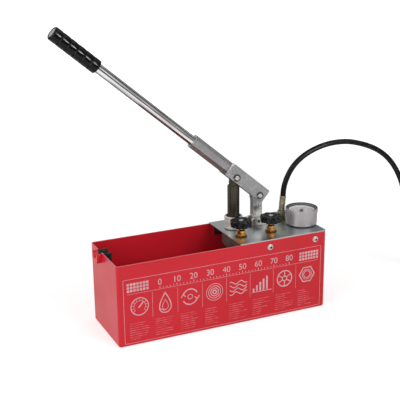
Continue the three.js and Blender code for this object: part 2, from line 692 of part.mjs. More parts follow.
// A round tube through listed places, its sections square to the way it runs there; one side stays up
function tubeThrough(places, directions, radius, faces) {
  const positions = [];
  const triangles = [];
  places.forEach((centre, i) => {
    const along = directions[i];
    const across = upright.clone().cross(along);
    if (across.length() < weld) across.copy(sideways);
    across.normalize();
    const above = along.clone().cross(across).normalize();
    for (let j = 0; j < faces; j += 1) {
      const angle = (2 * Math.PI * (j + 0.5)) / faces;
      const point = centre.clone().addScaledVector(across, radius * Math.sin(angle));
      point.addScaledVector(above, -radius * Math.cos(angle));
      positions.push(point.x, point.y, point.z);
    }
  });
  const last = (places.length - 1) * faces;
  for (let row = 0; row < last; row += faces) {
    for (let j = 0; j < faces; j += 1) {
      const [a, b] = [row + j, row + ((j + 1) % faces)];
      triangles.push(a, b, a + faces, b, b + faces, a + faces);
    }
  }
  for (let j = 1; j < faces - 1; j += 1) triangles.push(0, j + 1, j, last, last + j, last + j + 1);
  const geometry = new THREE.BufferGeometry();
  geometry.setAttribute('position', new THREE.Float32BufferAttribute(positions, 3));
  geometry.setIndex(triangles);
  return toSolid(geometry);
}

function wireAlong(curve, radius, faces, steps) {
  const shares = Array.from({ length: steps + 1 }, (_, i) => i / steps);
  const places = shares.map((t) => curve.getPoint(t));
  const directions = shares.map((t) => curve.getTangent(t));
  return tubeThrough(places, directions, radius, faces);
}

// Out of the barrel's port, round one bend and up into the non-return valve
function makeRiser() {
  const startX = pumpX + barrelRadius + barrel.portBossReach - riser.socketDepth + gap;
  const endHeight = checkBottom + riser.socketDepth - gap;
  const places = [new THREE.Vector3(startX, pump.y, portHeight)];
  const directions = [new THREE.Vector3(1, 0, 0)];
  for (let i = 0; i <= riser.steps; i += 1) {
    const angle = (i / riser.steps) * (Math.PI / 2);
    const x = checkX - riser.bend + riser.bend * Math.sin(angle);
    const z = portHeight + riser.bend - riser.bend * Math.cos(angle);
    places.push(new THREE.Vector3(x, pump.y, z));
    directions.push(new THREE.Vector3(Math.cos(angle), 0, Math.sin(angle)));
  }
  places.push(new THREE.Vector3(checkX, pump.y, endHeight));
  directions.push(upright);
  const longer = [...places];
  longer[0] = places[0].clone().addScaledVector(directions[0], -gap);
  longer.push(longer.pop().clone().addScaledVector(upright, gap));
  return cut(tubeThrough(places, directions, riser.radius, sides.tiny),
    tubeThrough(longer, directions, riser.boreRadius, sides.tiny));
}

add('riser_pipe', makeRiser(), 'brightTube');

const checkGroup = new THREE.Group();
checkGroup.position.set(checkX, pump.y, 0);
model.add(checkGroup);

function makeCheckBody() {
  const hexTop = manifoldBottom - gap;
  const hex = hexBar(check.hexAcross, checkBottom, hexTop);
  const stem = rod(check.boreRadius - gap, hexTop - gap, checkSeat);
  const inlet = rod(check.inletRadius, checkBottom - overrun, checkSeat + overrun, sides.tiny);
  const pipeSeat = rod(riser.radius + gap, checkBottom - overrun, checkBottom + riser.socketDepth);
  return cut(join(hex, stem), inlet, pipeSeat);
}

function makeSpring() {
  const foot = checkBallHeight + check.ballRadius + gap + check.springWire;
  const top = checkRoof - gap - check.springWire;
  class Helix extends THREE.Curve {
    getPoint(t, target = new THREE.Vector3()) {
      const angle = t * check.springTurns * 2 * Math.PI;
      const radius = check.springRadius;
      return target.set(radius * Math.cos(angle), radius * Math.sin(angle), foot + t * (top - foot));
    }
  }
  return wireAlong(new Helix(), check.springWire, check.springFaces, check.springTurns * check.springSteps);
}

add('non_return_body', makeCheckBody(), 'brass', checkGroup);
const checkBallMesh = add('non_return_ball',
  toSolid(new THREE.SphereGeometry(check.ballRadius, sides.tiny, sides.tiny / 2)), 'darkSteel', checkGroup);
checkBallMesh.position.z = checkBallHeight;
add('non_return_spring', makeSpring(), 'darkSteel', checkGroup);

// Screw valves

function makeValveBody() {
  const hexTop = onPlate + valve.bodyHexHeight;
  const hex = hexBar(valve.bodyHexAcross, onPlate, hexTop);
  const shank = rod(valve.shankRadius, onPlate - valve.shankLength, hexTop);
  const flange = rod(valve.flangeRadius, onPlate, onPlate + valve.flangeThickness, sides.small);
  const bore = rod(valve.spindleRadius + gap, 0, hexTop + overrun);
  return cut(join(hex, shank, flange), bore);
}

function makeGland() {
  const foot = onPlate + valve.bodyHexHeight + gap;
  const hexTop = foot + valve.glandHexHeight;
  const coneTop = hexTop + valve.glandConeHeight;
  const cone = turned([
    [0, foot], [valve.glandHexAcross / 2, foot], [valve.glandHexAcross / 2, hexTop],
    [valve.glandConeRadius, coneTop], [0, coneTop],
  ], sides.small);
  const bore = rod(valve.spindleRadius + gap, 0, coneTop + overrun);
  return cut(join(hexBar(valve.glandHexAcross, foot, hexTop), cone), bore);
}

const glandTop = onPlate + valve.bodyHexHeight + gap + valve.glandHexHeight + valve.glandConeHeight;
const knobFoot = glandTop + valve.knobAboveGland;
const knobTop = knobFoot + valve.knobThickness;
const knobRoofFoot = knobTop - valve.knobDishDepth - valve.knobRoof;

function makeSpindle() {
  const foot = onPlate - valve.spindleBelowPlate;
  const top = knobRoofFoot - gap;
  const body = turned([
    [0, foot], [valve.spindleTipRadius, foot], [valve.spindleRadius, foot + valve.spindleTipLength],
    [valve.spindleRadius, top], [0, top]], sides.small);
  const holeFoot = top - valve.screwShankLength;
  return cut(body, rod(valve.screwShankRadius + gap, holeFoot, top + overrun, sides.tiny));
}

// Star knob: lobes swell from the rim by a cosine, and both faces are rounded over at the edge
function makeKnob() {
  const outline = (inset) => {
    const shape = new THREE.Shape();
    const steps = valve.knobLobes * 4;
    for (let i = 0; i < steps; i += 1) {
      const angle = (2 * Math.PI * i) / steps;
      const wave = (1 - Math.cos(valve.knobLobes * angle)) / 2;
      const radius = valve.knobRadius - inset - valve.knobValley * wave ** 2;
      const point = [radius * Math.cos(angle), radius * Math.sin(angle)];
      if (i === 0) shape.moveTo(...point);
      else shape.lineTo(...point);
    }
    shape.closePath();
    return shape;
  };
  const bevel = valve.knobEdge;
  const geometry = new THREE.ExtrudeGeometry(outline(bevel), {
    depth: valve.knobThickness - 2 * bevel, bevelEnabled: true, bevelThickness: bevel, bevelSize: bevel,
    bevelSegments: bendSteps,
  });
  geometry.translate(0, 0, knobFoot + bevel);
  const hubFoot = knobFoot - valve.knobHubDrop;
  const hub = rod(valve.knobHubRadius, hubFoot, knobFoot + bevel);
  const dish = rod(valve.knobDishRadius, knobTop - valve.knobDishDepth, knobTop + overrun, sides.middle);
  const bore = rod(valve.spindleRadius + gap, hubFoot - overrun, knobRoofFoot);
  const screwRun = valve.screwShankRadius + gap;
  const screwHole = rod(screwRun, knobRoofFoot - overrun, knobTop + overrun, sides.tiny);
  return cut(join(toSolid(geometry), hub), dish, bore, screwHole);
}

function makeKnobScrew() {
  const foot = knobTop - valve.knobDishDepth + gap;
  const top = foot + valve.screwHeadHeight;
  const head = turned([
    [0, foot], [valve.screwHeadRadius, foot], [valve.screwHeadRadius, foot + valve.screwHeadHeight / 2],
    [valve.screwHeadRadius * Math.SQRT1_2, top], [0, top]], sides.small);
  const slotFoot = top - valve.screwSlotDepth;
  const shank = rod(valve.screwShankRadius, foot - valve.screwShankLength, slotFoot, sides.tiny);
  const half = valve.screwSlotWidth / 2;
  const slot = block(-valve.knobRadius, valve.knobRadius, -half, half, slotFoot, top + overrun);
  return cut(join(head, shank), slot);
}

for (const [side, x] of [['left', leftValveX], ['right', rightValveX]]) {
  const group = new THREE.Group();
  group.position.set(x, valve.y, 0);
  model.add(group);
  add(`valve_body_${side}`, makeValveBody(), 'brass', group);
  add(`valve_gland_${side}`, makeGland(), 'brass', group);
  add(`valve_spindle_${side}`, makeSpindle(), 'brass', group);
  add(`valve_knob_${side}`, makeKnob(), 'blackPlastic', group);
  add(`knob_screw_${side}`, makeKnobScrew(), 'zinc', group);
}

// Pressure gauge

const gaugeGroup = new THREE.Group();
gaugeGroup.position.set(gaugeX, gaugeY, 0);
model.add(gaugeGroup);

const socketHexTop = onPlate + gauge.socketHexHeight;
const caseBase = socketHexTop + gap;
const caseTop = caseBase + gauge.caseHeight;
const caseInner = gauge.caseRadius - gauge.caseWall;
const bezelTop = caseTop + gauge.bezelAboveCase;
const lensTop = bezelTop - gauge.bezelLipThickness - gap;
const lensFoot = lensTop - gauge.lensThickness;
const dialTop = lensFoot - gauge.dialBelowLens;
const dialFoot = dialTop - gauge.dialThickness;
const dialRadius = caseInner - gauge.dialPlay;
const ringInner = dialRadius - gauge.ringWall;

function makeGaugeCase() {
  return turned([
    [gauge.socketRadius + gap, caseBase], [caseInner, caseBase],
    [gauge.caseRadius, caseBase + gauge.caseWall], [gauge.caseRadius, caseTop], [caseInner, caseTop],
    [caseInner, caseBase + gauge.caseWall],
    [gauge.socketRadius + gap, caseBase + gauge.caseWall],
  ], sides.large);
}

function makeBezel() {
  const inner = gauge.caseRadius + gap;
  const outer = inner + gauge.bezelWall;
  const lipInner = outer - gauge.bezelLip;
  const foot = bezelTop - gauge.bezelSkirt;
  return turned([
    [inner, foot], [outer, foot], [outer, bezelTop - gauge.bezelLipThickness],
    [outer - gauge.bezelWall, bezelTop], [lipInner, bezelTop],
    [lipInner, bezelTop - gauge.bezelLipThickness], [inner, bezelTop - gauge.bezelLipThickness],
  ], sides.large);
}

function makeGaugeSocket() {
  const hex = hexBar(gauge.socketHexAcross, onPlate, socketHexTop);
  const stemTop = caseBase + gauge.caseWall + gauge.socketReach;
  const stem = rod(gauge.socketRadius, onPlate - gauge.socketDepth, stemTop);
  const bore = rod(gauge.pivotRadius, 0, socketHexTop, sides.tiny);
  return cut(join(hex, stem), bore);
}

function makePointer() {
  const foot = dialTop + gap + gauge.pointerThickness;
  const hubTop = lensFoot - gauge.hubBelowLens;
  const hub = turned([
    [0, foot], [gauge.hubRadius, foot], [gauge.hubRadius, hubTop - gauge.pointerThickness],
    [gauge.hubRadius - gauge.pointerThickness, hubTop], [0, hubTop]], sides.small);
  const shape = new THREE.Shape();
  const [half, tip] = [gauge.pointerWidth / 2, gauge.pointerTipWidth / 2];
  const reach = ringInner - gauge.pointerShort;
  shape.moveTo(-gauge.pointerTail, -half);
  shape.lineTo(reach, -tip);
  shape.lineTo(reach, tip);
  shape.lineTo(-gauge.pointerTail, half);
  const hand = prism(shape, foot, foot + gauge.pointerThickness).rotate([0, 0, gauge.restAngle]);
  const pivotFoot = dialFoot - gauge.pivotBelowDial;
  const pivot = rod(gauge.pivotRadius, pivotFoot, hubTop - gauge.pointerThickness, sides.tiny);
  return join(hub, hand, pivot);
}

add('gauge_socket', makeGaugeSocket(), 'brass', gaugeGroup);
add('gauge_case', makeGaugeCase(), 'gaugeGrey', gaugeGroup);
add('gauge_bezel', makeBezel(), 'gaugeGrey', gaugeGroup);
const dial = tube(gauge.pivotRadius + gap, dialRadius, dialFoot, dialTop);
add('gauge_dial', dial, 'dialWhite', gaugeGroup);
const spacerRing = tube(ringInner, dialRadius, dialTop + gap, lensFoot - gap, sides.large);
add('gauge_ring', spacerRing, 'rubber', gaugeGroup);
add('gauge_lens', rod(gauge.caseRadius - gap, lensFoot, lensTop, sides.large), 'clear', gaugeGroup);
add('gauge_pointer', makePointer(), 'darkSteel', gaugeGroup);

// Link and its bracket on the plate

const linkGroup = new THREE.Group();
linkGroup.position.set(linkX, pump.y, footPinHeight);
model.add(linkGroup);

function makeLink() {
  const half = link.width / 2;
  const eye = linkage.linkLength;
  const slotHalf = linkage.pinRadius + link.slotTravel + link.slotPlay;
  const slotRise = linkage.pinRadius + link.slotRise + link.slotPlay;
  const slotCorner = linkage.pinRadius + link.slotPlay;
  const eyeHalf = slotHalf + link.eyeSideWall;
  const [eyeFoot, eyeTop] = [eye - link.eyeBelow, eye + slotRise + link.eyeTopWall];
  const [cornerX, cornerZ] = [eyeHalf - link.eyeCorner, eyeTop - link.eyeCorner];
  const shape = new THREE.Shape();
  shape.moveTo(link.footRadius, 0);
  shape.lineTo(half, link.footTaper);
  shape.lineTo(half, eyeFoot - link.eyeTaper);
  shape.lineTo(eyeHalf, eyeFoot);
  shape.lineTo(eyeHalf, cornerZ);
  shape.absarc(cornerX, cornerZ, link.eyeCorner, 0, Math.PI / 2, false);
  shape.lineTo(-cornerX, eyeTop);
  shape.absarc(-cornerX, cornerZ, link.eyeCorner, Math.PI / 2, Math.PI, false);
  shape.lineTo(-eyeHalf, eyeFoot);
  shape.lineTo(-half, eyeFoot - link.eyeTaper);
  shape.lineTo(-half, link.footTaper);
  shape.lineTo(-link.footRadius, 0);
  shape.absarc(0, 0, link.footRadius, Math.PI, 2 * Math.PI, false);
  const bar = prismAlongY(shape, -link.thickness / 2, link.thickness / 2, bendSteps * 2);
  const slot = prismAlongY(roundedOutline(-slotHalf, slotHalf, eye - slotRise, eye + slotRise, slotCorner),
    -link.thickness, link.thickness, bendSteps);
  const footHole = rodAlongY(linkage.footPinRadius + gap, -link.thickness, link.thickness);
  return cut(bar, slot, footHole);
}

function makeBracket() {
  const foot = onPlate - footPinHeight;
  const slotHalf = link.thickness / 2 + gap;
  const outer = slotHalf + bracket.wall;
  const half = bracket.length / 2;
  const [slotFoot, footTop] = [foot + bracket.base, foot + bracket.footThickness];
  const corners = [0, 0, bracket.cheekCorner, bracket.cheekCorner];
  const outline = roundedOutline(-half, half, foot, bracket.cheekAbovePin, corners);
  const reach = half + bracket.footLength;
  const body = join(prismAlongY(outline, -outer, outer), block(-reach, reach, -outer, outer, foot, footTop));
  const slot = block(-half, half, -slotHalf, slotHalf, slotFoot, bracket.cheekAbovePin + overrun);
  const pinHole = rodAlongY(linkage.footPinRadius + gap, -outer - overrun, outer + overrun);
  const screwHoles = [-bracketScrewReach, bracketScrewReach].map((x) =>
    rod(bracket.screwRadius + gap, foot - overrun, footTop + overrun, sides.tiny).translate([x, 0, 0]));
  return cut(body, slot, pinHole, ...screwHoles);
}

function makeBracketScrew() {
  const seat = onPlate + bracket.footThickness + gap;
  const top = seat + bracket.screwHeadHeight;
  const head = rod(bracket.screwHeadRadius, seat, top, sides.small);
  const neck = seat + bracket.screwHeadHeight / 2;
  const shank = rod(bracket.screwRadius, seat - bracket.screwLength, neck, sides.tiny);
  const socket = prism(hexagon(bracket.screwSocketAcross), top - bracket.screwSocketDepth, top + overrun);
  return cut(join(head, shank), socket);
}

add('link_bar', makeLink(), 'zinc', linkGroup);
add('link_bracket', makeBracket(), 'zinc', linkGroup);
const footPinHalf = link.thickness / 2 + gap + bracket.wall + linkage.footPinTip;
add('link_foot_pin', rodAlongY(linkage.footPinRadius, -footPinHalf, footPinHalf), 'darkSteel', linkGroup);
for (const [index, side] of ['left', 'right'].entries()) {
  const screw = add(`bracket_screw_${side}`, makeBracketScrew(), 'zinc');
  screw.position.set(bracketScrewPlaces[index], pump.y, 0);
}

// Hand lever

const leverGroup = new THREE.Group();
leverGroup.position.set(pumpX, pump.y, pinHeight);
leverGroup.rotation.y = leverRadians;
model.add(leverGroup);

const strapRight = linkage.pinSpacing + lever.strapPastLink;
const strapLeft = -lever.strapPastPlunger;
const socketRight = strapLeft + lever.socketUnderStrap;
const socketLeft = socketRight - lever.socketLength;
const gripRight = -lever.gripStart;
const gripLeft = gripRight - lever.gripLength;
const tubeLeft = gripLeft + lever.tubeShortOfGrip;
const tubeRight = socketLeft + lever.tubeInSocket;

function makeStrap() {
  const half = lever.strapWidth / 2;
  const outline = roundedOutline(strapLeft, strapRight,
    lever.axisAbovePins - half, lever.axisAbovePins + half, lever.strapCorner);
  const flat = prismAlongY(outline, 0, lever.strapThickness);
  const hole = rodAlongY(linkage.pinRadius + gap, -overrun, lever.strapThickness + overrun);
  return cut(flat, hole, hole.translate([linkage.pinSpacing, 0, 0]));
}

function makeSocket() {
  const [halfY, halfZ] = [socketHalfWidth, socketHalfHeight];
  const bevel = lever.socketBevel;
  const shape = new THREE.Shape();
  shape.moveTo(-halfY + bevel, -halfZ);
  shape.lineTo(halfY - bevel, -halfZ);
  shape.lineTo(halfY, -halfZ + bevel);
  shape.lineTo(halfY, halfZ - bevel);
  shape.lineTo(halfY - bevel, halfZ);
  shape.lineTo(-halfY + bevel, halfZ);
  shape.lineTo(-halfY, halfZ - bevel);
  shape.lineTo(-halfY, -halfZ + bevel);
  shape.closePath();
  const bore = rodAlongX(lever.tubeRadius + gap, socketLeft - overrun, socketRight + overrun, sides.middle);
  return cut(prismAlongX(shape, socketLeft, socketRight), bore).translate([0, 0, lever.axisAbovePins]);
}

// Turned about the lever's own axis: a profile of radius and place along the lever
const turnedAlongLever = (profile, faces) =>
  turned(profile, faces).rotate([0, 90, 0]).translate([0, 0, lever.axisAbovePins]);

function makeGrip() {
  const inner = lever.tubeRadius + gap;
  const outer = gripRadius;
  const { grooveDepth: deep, grooveWidth: wide, gripRim: rim } = lever;
  const pitch = lever.gripLength / (lever.gripGrooves + 1);
  const profile = [[inner, gripLeft], [outer - rim, gripLeft], [outer, gripLeft + rim]];
  for (let i = 1; i <= lever.gripGrooves; i += 1) {
    const middle = gripLeft + i * pitch;
    profile.push([outer, middle - wide / 2], [outer - deep, middle], [outer, middle + wide / 2]);
  }
  profile.push([outer, gripRight - rim], [outer - rim / 2, gripRight], [inner, gripRight]);
  return turnedAlongLever(profile, sides.middle);
}

function makePlug() {
  const stem = lever.tubeRadius - lever.tubeWall - gap;
  const headRight = tubeLeft - gap;
  const headLeft = headRight - lever.plugHead;
  return turnedAlongLever([
    [0, headLeft], [lever.tubeRadius - lever.plugEdge, headLeft],
    [lever.tubeRadius, headLeft + lever.plugEdge], [lever.tubeRadius, headRight], [stem, headRight],
    [stem, tubeLeft + lever.plugStem], [0, tubeLeft + lever.plugStem],
  ], sides.middle);
}

// Pin with a head at the back and a groove for its spring clip at the front
function makePin() {
  const groove = -strapOuter - gap;
  const grooveFront = groove - linkage.clipThickness - gap;
  const tip = grooveFront - (linkage.pinTip - linkage.clipThickness);
  const back = strapOuter + gap;
  const full = linkage.pinRadius;
  const slim = full - linkage.clipBite;
  const head = linkage.pinHeadRadius;
  return turned([
    [0, tip], [slim, tip], [full, tip + linkage.clipBite], [full, grooveFront], [slim, grooveFront],
    [slim, groove], [full, groove], [full, back], [head, back], [head, back + linkage.pinHeadHeight],
    [0, back + linkage.pinHeadHeight],
  ], sides.small).rotate([-90, 0, 0]);
}

function makeClip() {
  const front = -strapOuter - gap - linkage.clipThickness;
  const inner = linkage.pinRadius - linkage.clipBite + gap;
  const ring = tube(inner, linkage.clipRadius, 0, linkage.clipThickness, sides.small)
    .rotate([-90, 0, 0]).translate([0, front - gap / 2, 0]);
  const half = linkage.clipMouth / 2;
  const mouth = block(0, linkage.clipRadius + overrun, front - overrun, front + overrun, -half, half);
  return cut(ring, mouth);
}

const frontStrap = add('lever_strap_front', makeStrap(), 'zinc', leverGroup);
frontStrap.position.y = -strapOuter;
const rearStrap = add('lever_strap_rear', makeStrap(), 'zinc', leverGroup);
rearStrap.position.y = strapInner;
add('lever_socket', makeSocket(), 'zinc', leverGroup);
const tubeInner = lever.tubeRadius - lever.tubeWall;
const leverTube = turnedAlongLever([
  [tubeInner, tubeLeft], [lever.tubeRadius, tubeLeft], [lever.tubeRadius, tubeRight], [tubeInner, tubeRight],
], sides.middle);
add('lever_tube', leverTube, 'brightTube', leverGroup);
add('lever_grip', makeGrip(), 'rubber', leverGroup);
add('lever_end_plug', makePlug(), 'greyPlastic', leverGroup);
for (const [name, x] of [['plunger', 0], ['link', linkage.pinSpacing]]) {
  const pin = add(`${name}_pin`, makePin(), 'plated', leverGroup);
  pin.position.x = x;
  const clip = add(`${name}_pin_clip`, makeClip(), 'darkSteel', leverGroup);
  clip.position.x = x;
}

// Hose fittings on the plate: the neck leans the way the hose pulls

const leanRadians = THREE.MathUtils.degToRad(hose.lean);
const leanHeight = onPlate + hose.adapterHexHeight;
const fittingGroup = new THREE.Group();
fittingGroup.position.set(portX, hose.portY, leanHeight);
fittingGroup.rotation.y = leanRadians;
model.add(fittingGroup);

function makeAdapter() {
  const hex = hexBar(hose.adapterHexAcross, onPlate, leanHeight, hose.adapterChamfer);
  const shank = rod(hose.adapterShankRadius, onPlate - hose.adapterShankLength, onPlate + gap);
  const neck = rod(hose.neckRadius, -hose.neckRadius, hose.neckLength).rotate([0, hose.lean, 0])
    .translate([0, 0, leanHeight]);
  const boreFoot = -hose.adapterShankLength - overrun;
  const bore = rod(hose.neckBore, boreFoot, hose.neckLength + overrun, sides.tiny);
  const upperBore = bore.rotate([0, hose.lean, 0]).translate([0, 0, leanHeight]);
  return cut(join(hex, shank, neck), upperBore);
}

function makeSwivelNut() {
  const [foot, top] = [hose.nutStart, hose.nutStart + hose.nutLength];
  const lipFoot = top - hose.nutLip;
  const body = hexBar(hose.nutAcross, foot, top, endNut.chamfer);
  const wide = rod(hose.neckRadius + gap, foot - overrun, lipFoot);
  const narrow = rod(hose.stemRadius + gap, foot - overrun, top + overrun);
  return cut(body, wide, narrow);
}

// Crimped hose end: a grooved shell on a stem, whose collar the swivel nut holds
function makeFerrule(stemFoot) {
  const [foot, mouth] = [hose.ferruleStart, hose.ferruleStart + hose.ferruleLength];
  const { ferruleRadius: outer, crimpDepth: deep, crimpPitch: pitch, ferruleEdge: edge } = hose;
  const profile = [[hose.stemBore, stemFoot], [hose.collarRadius, stemFoot],
    [hose.collarRadius, stemFoot + hose.collarLength], [hose.stemRadius, stemFoot + hose.collarLength],
    [hose.stemRadius, foot], [outer - edge, foot], [outer, foot + edge]];
  for (let i = 1; i <= hose.crimpCount; i += 1) {
    const middle = foot + i * pitch;
    profile.push([outer, middle - pitch / 4], [outer - deep, middle], [outer, middle + pitch / 4]);
  }
  profile.push([outer, mouth - edge], [outer - edge, mouth], [hose.stemBore, mouth]);
  return turned(profile, sides.small);
}

add('hose_adapter', makeAdapter(), 'crimped').position.set(portX, hose.portY, 0);
add('hose_swivel_nut', makeSwivelNut(), 'crimped', fittingGroup);
add('hose_ferrule', makeFerrule(hose.neckLength + gap), 'crimped', fittingGroup);

// Hose route: out of the leaning ferrule, over in one free arch and down on to its coil

const ferruleMouth = hose.ferruleStart + hose.ferruleLength;
const exitReach = ferruleMouth + gap;
const alongLean = (reach) => [
  portX + reach * Math.sin(leanRadians), leanHeight + reach * Math.cos(leanRadians),
];
const straightEnd = 2 * hose.radius;
const floorHeight = hose.radius + coil.floorGap;
const landingHeight = floorHeight + coil.layerRise;

// The arch, by hand, as X and Z in the upright plane of the port
const landingX = coil.centreX - coil.lead - gap;
const archPoints = [
  alongLean(exitReach), alongLean(exitReach + straightEnd), [210.8, 278], [219, 298], [231, 316.4],
  [246.6, 331.4], [265.4, 343.6], [287, 353], [310.6, 359.8], [335.4, 363.6], [361, 364.2], [387, 361.8],
  [412.6, 355.8], [438.5, 347.2], [463.5, 336.2], [487, 321.8], [508, 303.8], [526, 282.4], [541, 258.4],
  [553, 232.4], [562, 205], [568.5, 177], [573, 148.5], [576, 120], [577.6, 97], [579.4, 76], [585.6, 55],
  [598.4, 37], [615.8, 24.8], [landingX - straightEnd, landingHeight], [landingX, landingHeight],
];

function makeHose() {
  const points = archPoints.map(([x, z]) => new THREE.Vector3(x, hose.portY, z));
  const route = new THREE.CatmullRomCurve3(points, false, 'centripetal');
  const steps = Math.round(route.getLength() / (hose.radius * 5));
  console.log('hose arch length', route.getLength().toFixed(1), 'in', steps, 'steps');
  const section = new THREE.Shape();
  for (let i = 0; i < hose.faces; i += 1) {
    const angle = (2 * Math.PI * i) / hose.faces;
    const point = [hose.radius * Math.cos(angle), hose.radius * Math.sin(angle)];
    if (i === 0) section.moveTo(...point);
    else section.lineTo(...point);
  }
  section.closePath();
  return new THREE.ExtrudeGeometry(section, { steps, extrudePath: route, bevelEnabled: false });
}

add('hose', toSolid(makeHose()), 'rubber');

// Coil: a turn and a half, clockwise from above; the first half turn lies on the last one

const coilCentreY = hose.portY - coil.meanRadius;
const smooth = (value) => value * value * (3 - 2 * value);
const share = (value, low, high) => smooth(Math.min(Math.max((value - low) / (high - low), 0), 1));

// Height of the hose's centre for an angle wound so far, in degrees
function coilHeight(wound) {
  const total = coil.turns * 360;
  const lastHalf = total - 180;
  const tailLift = (angle) => coil.tailRise * share(angle, 180 - coil.tailRiseAngle, 180);
  if (wound <= 180) return landingHeight + tailLift(wound);
  if (wound < lastHalf) {
    const top = landingHeight + coil.tailRise;
    return top - (top - floorHeight) * share(wound, 180 + coil.holdAngle, 180 + coil.settleAngle);
  }
  return floorHeight + tailLift(wound - lastHalf);
}

class CoilRoute extends THREE.Curve {
  constructor() {
    super();
    this.around = coil.turns * 2 * Math.PI * coil.meanRadius;
    this.total = coil.lead + this.around + coil.tail;
  }

  getPoint(t, target = new THREE.Vector3()) {
    const travelled = t * this.total;
    if (travelled <= coil.lead) {
      return target.set(coil.centreX - coil.lead + travelled, hose.portY, coilHeight(0));
    }
    const wound = Math.min((travelled - coil.lead) / this.around, 1) * coil.turns * 360;
    const angle = THREE.MathUtils.degToRad(90 - wound);
    const past = Math.max(travelled - coil.lead - this.around, 0);
    const x = coil.centreX + coil.meanRadius * Math.cos(angle) - past;
    return target.set(x, coilCentreY + coil.meanRadius * Math.sin(angle), coilHeight(wound));
  }
}

function makeCoil() {
  const route = new CoilRoute();
  const steps = Math.round((coil.turns * coil.stepsPerTurn * route.total) / route.around);
  const points = Array.from({ length: steps * 4 + 1 }, (_, i) => route.getPoint(i / (steps * 4)));
  const spacing = route.total / (points.length - 1);
  const apart = Math.ceil((hose.radius * 4) / spacing);
  let nearest = Infinity;
  points.forEach((point, i) => {
    for (const other of points.slice(i + apart)) nearest = Math.min(nearest, point.distanceTo(other));
  });
  const selfGap = nearest - 2 * hose.radius;
  console.log('coil length', route.total.toFixed(1), 'least gap to itself', selfGap.toFixed(2));
  return wireAlong(route, hose.radius, coil.faces, steps);
}

add('hose_coil', makeCoil(), 'rubber');

// Fittings on the hose's far end, lying on the floor

const endGroup = new THREE.Group();
const tailHeight = coilHeight(coil.turns * 360);
endGroup.position.set(
  coil.centreX - coil.tail - gap - ferruleMouth, coilCentreY - coil.meanRadius, tailHeight);
endGroup.rotation.y = Math.PI / 2;
model.add(endGroup);

const endStemFoot = hose.ferruleStart - hose.nutLip - gap * 2 - hose.collarLength;

function makeEndNut() {
  const top = hose.ferruleStart - gap;
  const foot = top - endNut.length;
  const body = hexBar(endNut.across, foot, top, endNut.chamfer).rotate([0, 0, 30]);
  const wide = rod(endNut.boreRadius, foot - overrun, top - endNut.lip);
  const narrow = rod(hose.stemRadius + gap, foot, top + overrun);
  return cut(body, wide, narrow);
}

add('hose_end_ferrule', makeFerrule(endStemFoot), 'crimped', endGroup);
add('hose_end_nut', makeEndNut(), 'zinc', endGroup);

export default model;
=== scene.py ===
"""Hydrostatic test pump: the visible pieces, finishes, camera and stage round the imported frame."""

import json
import math

import bmesh
import bpy
from mathutils import Matrix, Vector

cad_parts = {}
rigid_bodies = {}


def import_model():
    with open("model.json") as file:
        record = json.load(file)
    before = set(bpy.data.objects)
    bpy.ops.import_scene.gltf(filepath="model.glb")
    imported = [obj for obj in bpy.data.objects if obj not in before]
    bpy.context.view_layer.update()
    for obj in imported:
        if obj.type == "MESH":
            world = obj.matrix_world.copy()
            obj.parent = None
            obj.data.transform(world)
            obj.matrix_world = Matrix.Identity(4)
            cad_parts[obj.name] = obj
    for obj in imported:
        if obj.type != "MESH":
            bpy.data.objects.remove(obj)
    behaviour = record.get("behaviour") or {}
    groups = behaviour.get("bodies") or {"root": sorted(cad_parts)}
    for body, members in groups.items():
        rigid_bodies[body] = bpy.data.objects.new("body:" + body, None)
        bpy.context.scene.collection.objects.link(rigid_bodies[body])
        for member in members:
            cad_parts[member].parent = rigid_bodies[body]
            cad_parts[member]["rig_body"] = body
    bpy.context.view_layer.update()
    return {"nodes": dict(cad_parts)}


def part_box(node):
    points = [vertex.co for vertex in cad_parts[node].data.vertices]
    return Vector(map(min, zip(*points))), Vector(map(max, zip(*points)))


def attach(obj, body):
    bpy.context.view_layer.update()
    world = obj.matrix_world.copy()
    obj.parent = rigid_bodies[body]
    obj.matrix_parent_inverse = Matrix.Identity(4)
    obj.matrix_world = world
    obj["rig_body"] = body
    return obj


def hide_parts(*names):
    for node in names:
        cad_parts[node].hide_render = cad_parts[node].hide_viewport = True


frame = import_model()

bl_info = {
    "name": "Hydrostatic test pump",
    "version": (1, 0, 0),
    "blender": (4, 5, 0),
    "location": "3D View > Sidebar > Test pump",
    "description": "Builds the pieces of a hand test pump round its packed frame",
    "category": "Object",
}

MM = 0.001
TURN = 2 * math.pi
QUARTER = math.pi / 2

# Places of the mechanism, in millimetres, as the frame has them
TANK_SIZE = (515.0, 170.0, 189.0)
ON_PLATE = 191.6
PUMP = (72.0, 25.0)
PIN_HEIGHT, PIN_SPACING, PIN_RADIUS = 317.0, 78.0, 4.8
LINK_X = 131.576
FOOT_PIN_HEIGHT = 202.654
LEVER_ANGLE = math.radians(40.2)
LEVER_AXIS = 6.3
VALVES = {"left": (61.0, -36.0), "right": (138.0, -36.0)}
GAUGE = (230.0, -18.0)
PORT = (202.0, 30.0, 198.0)
LEAN = math.radians(5)
PLATE_SCREWS, SCREW_HEIGHT, SCREW_SEAT = (110, 228), 173.5, 85.3

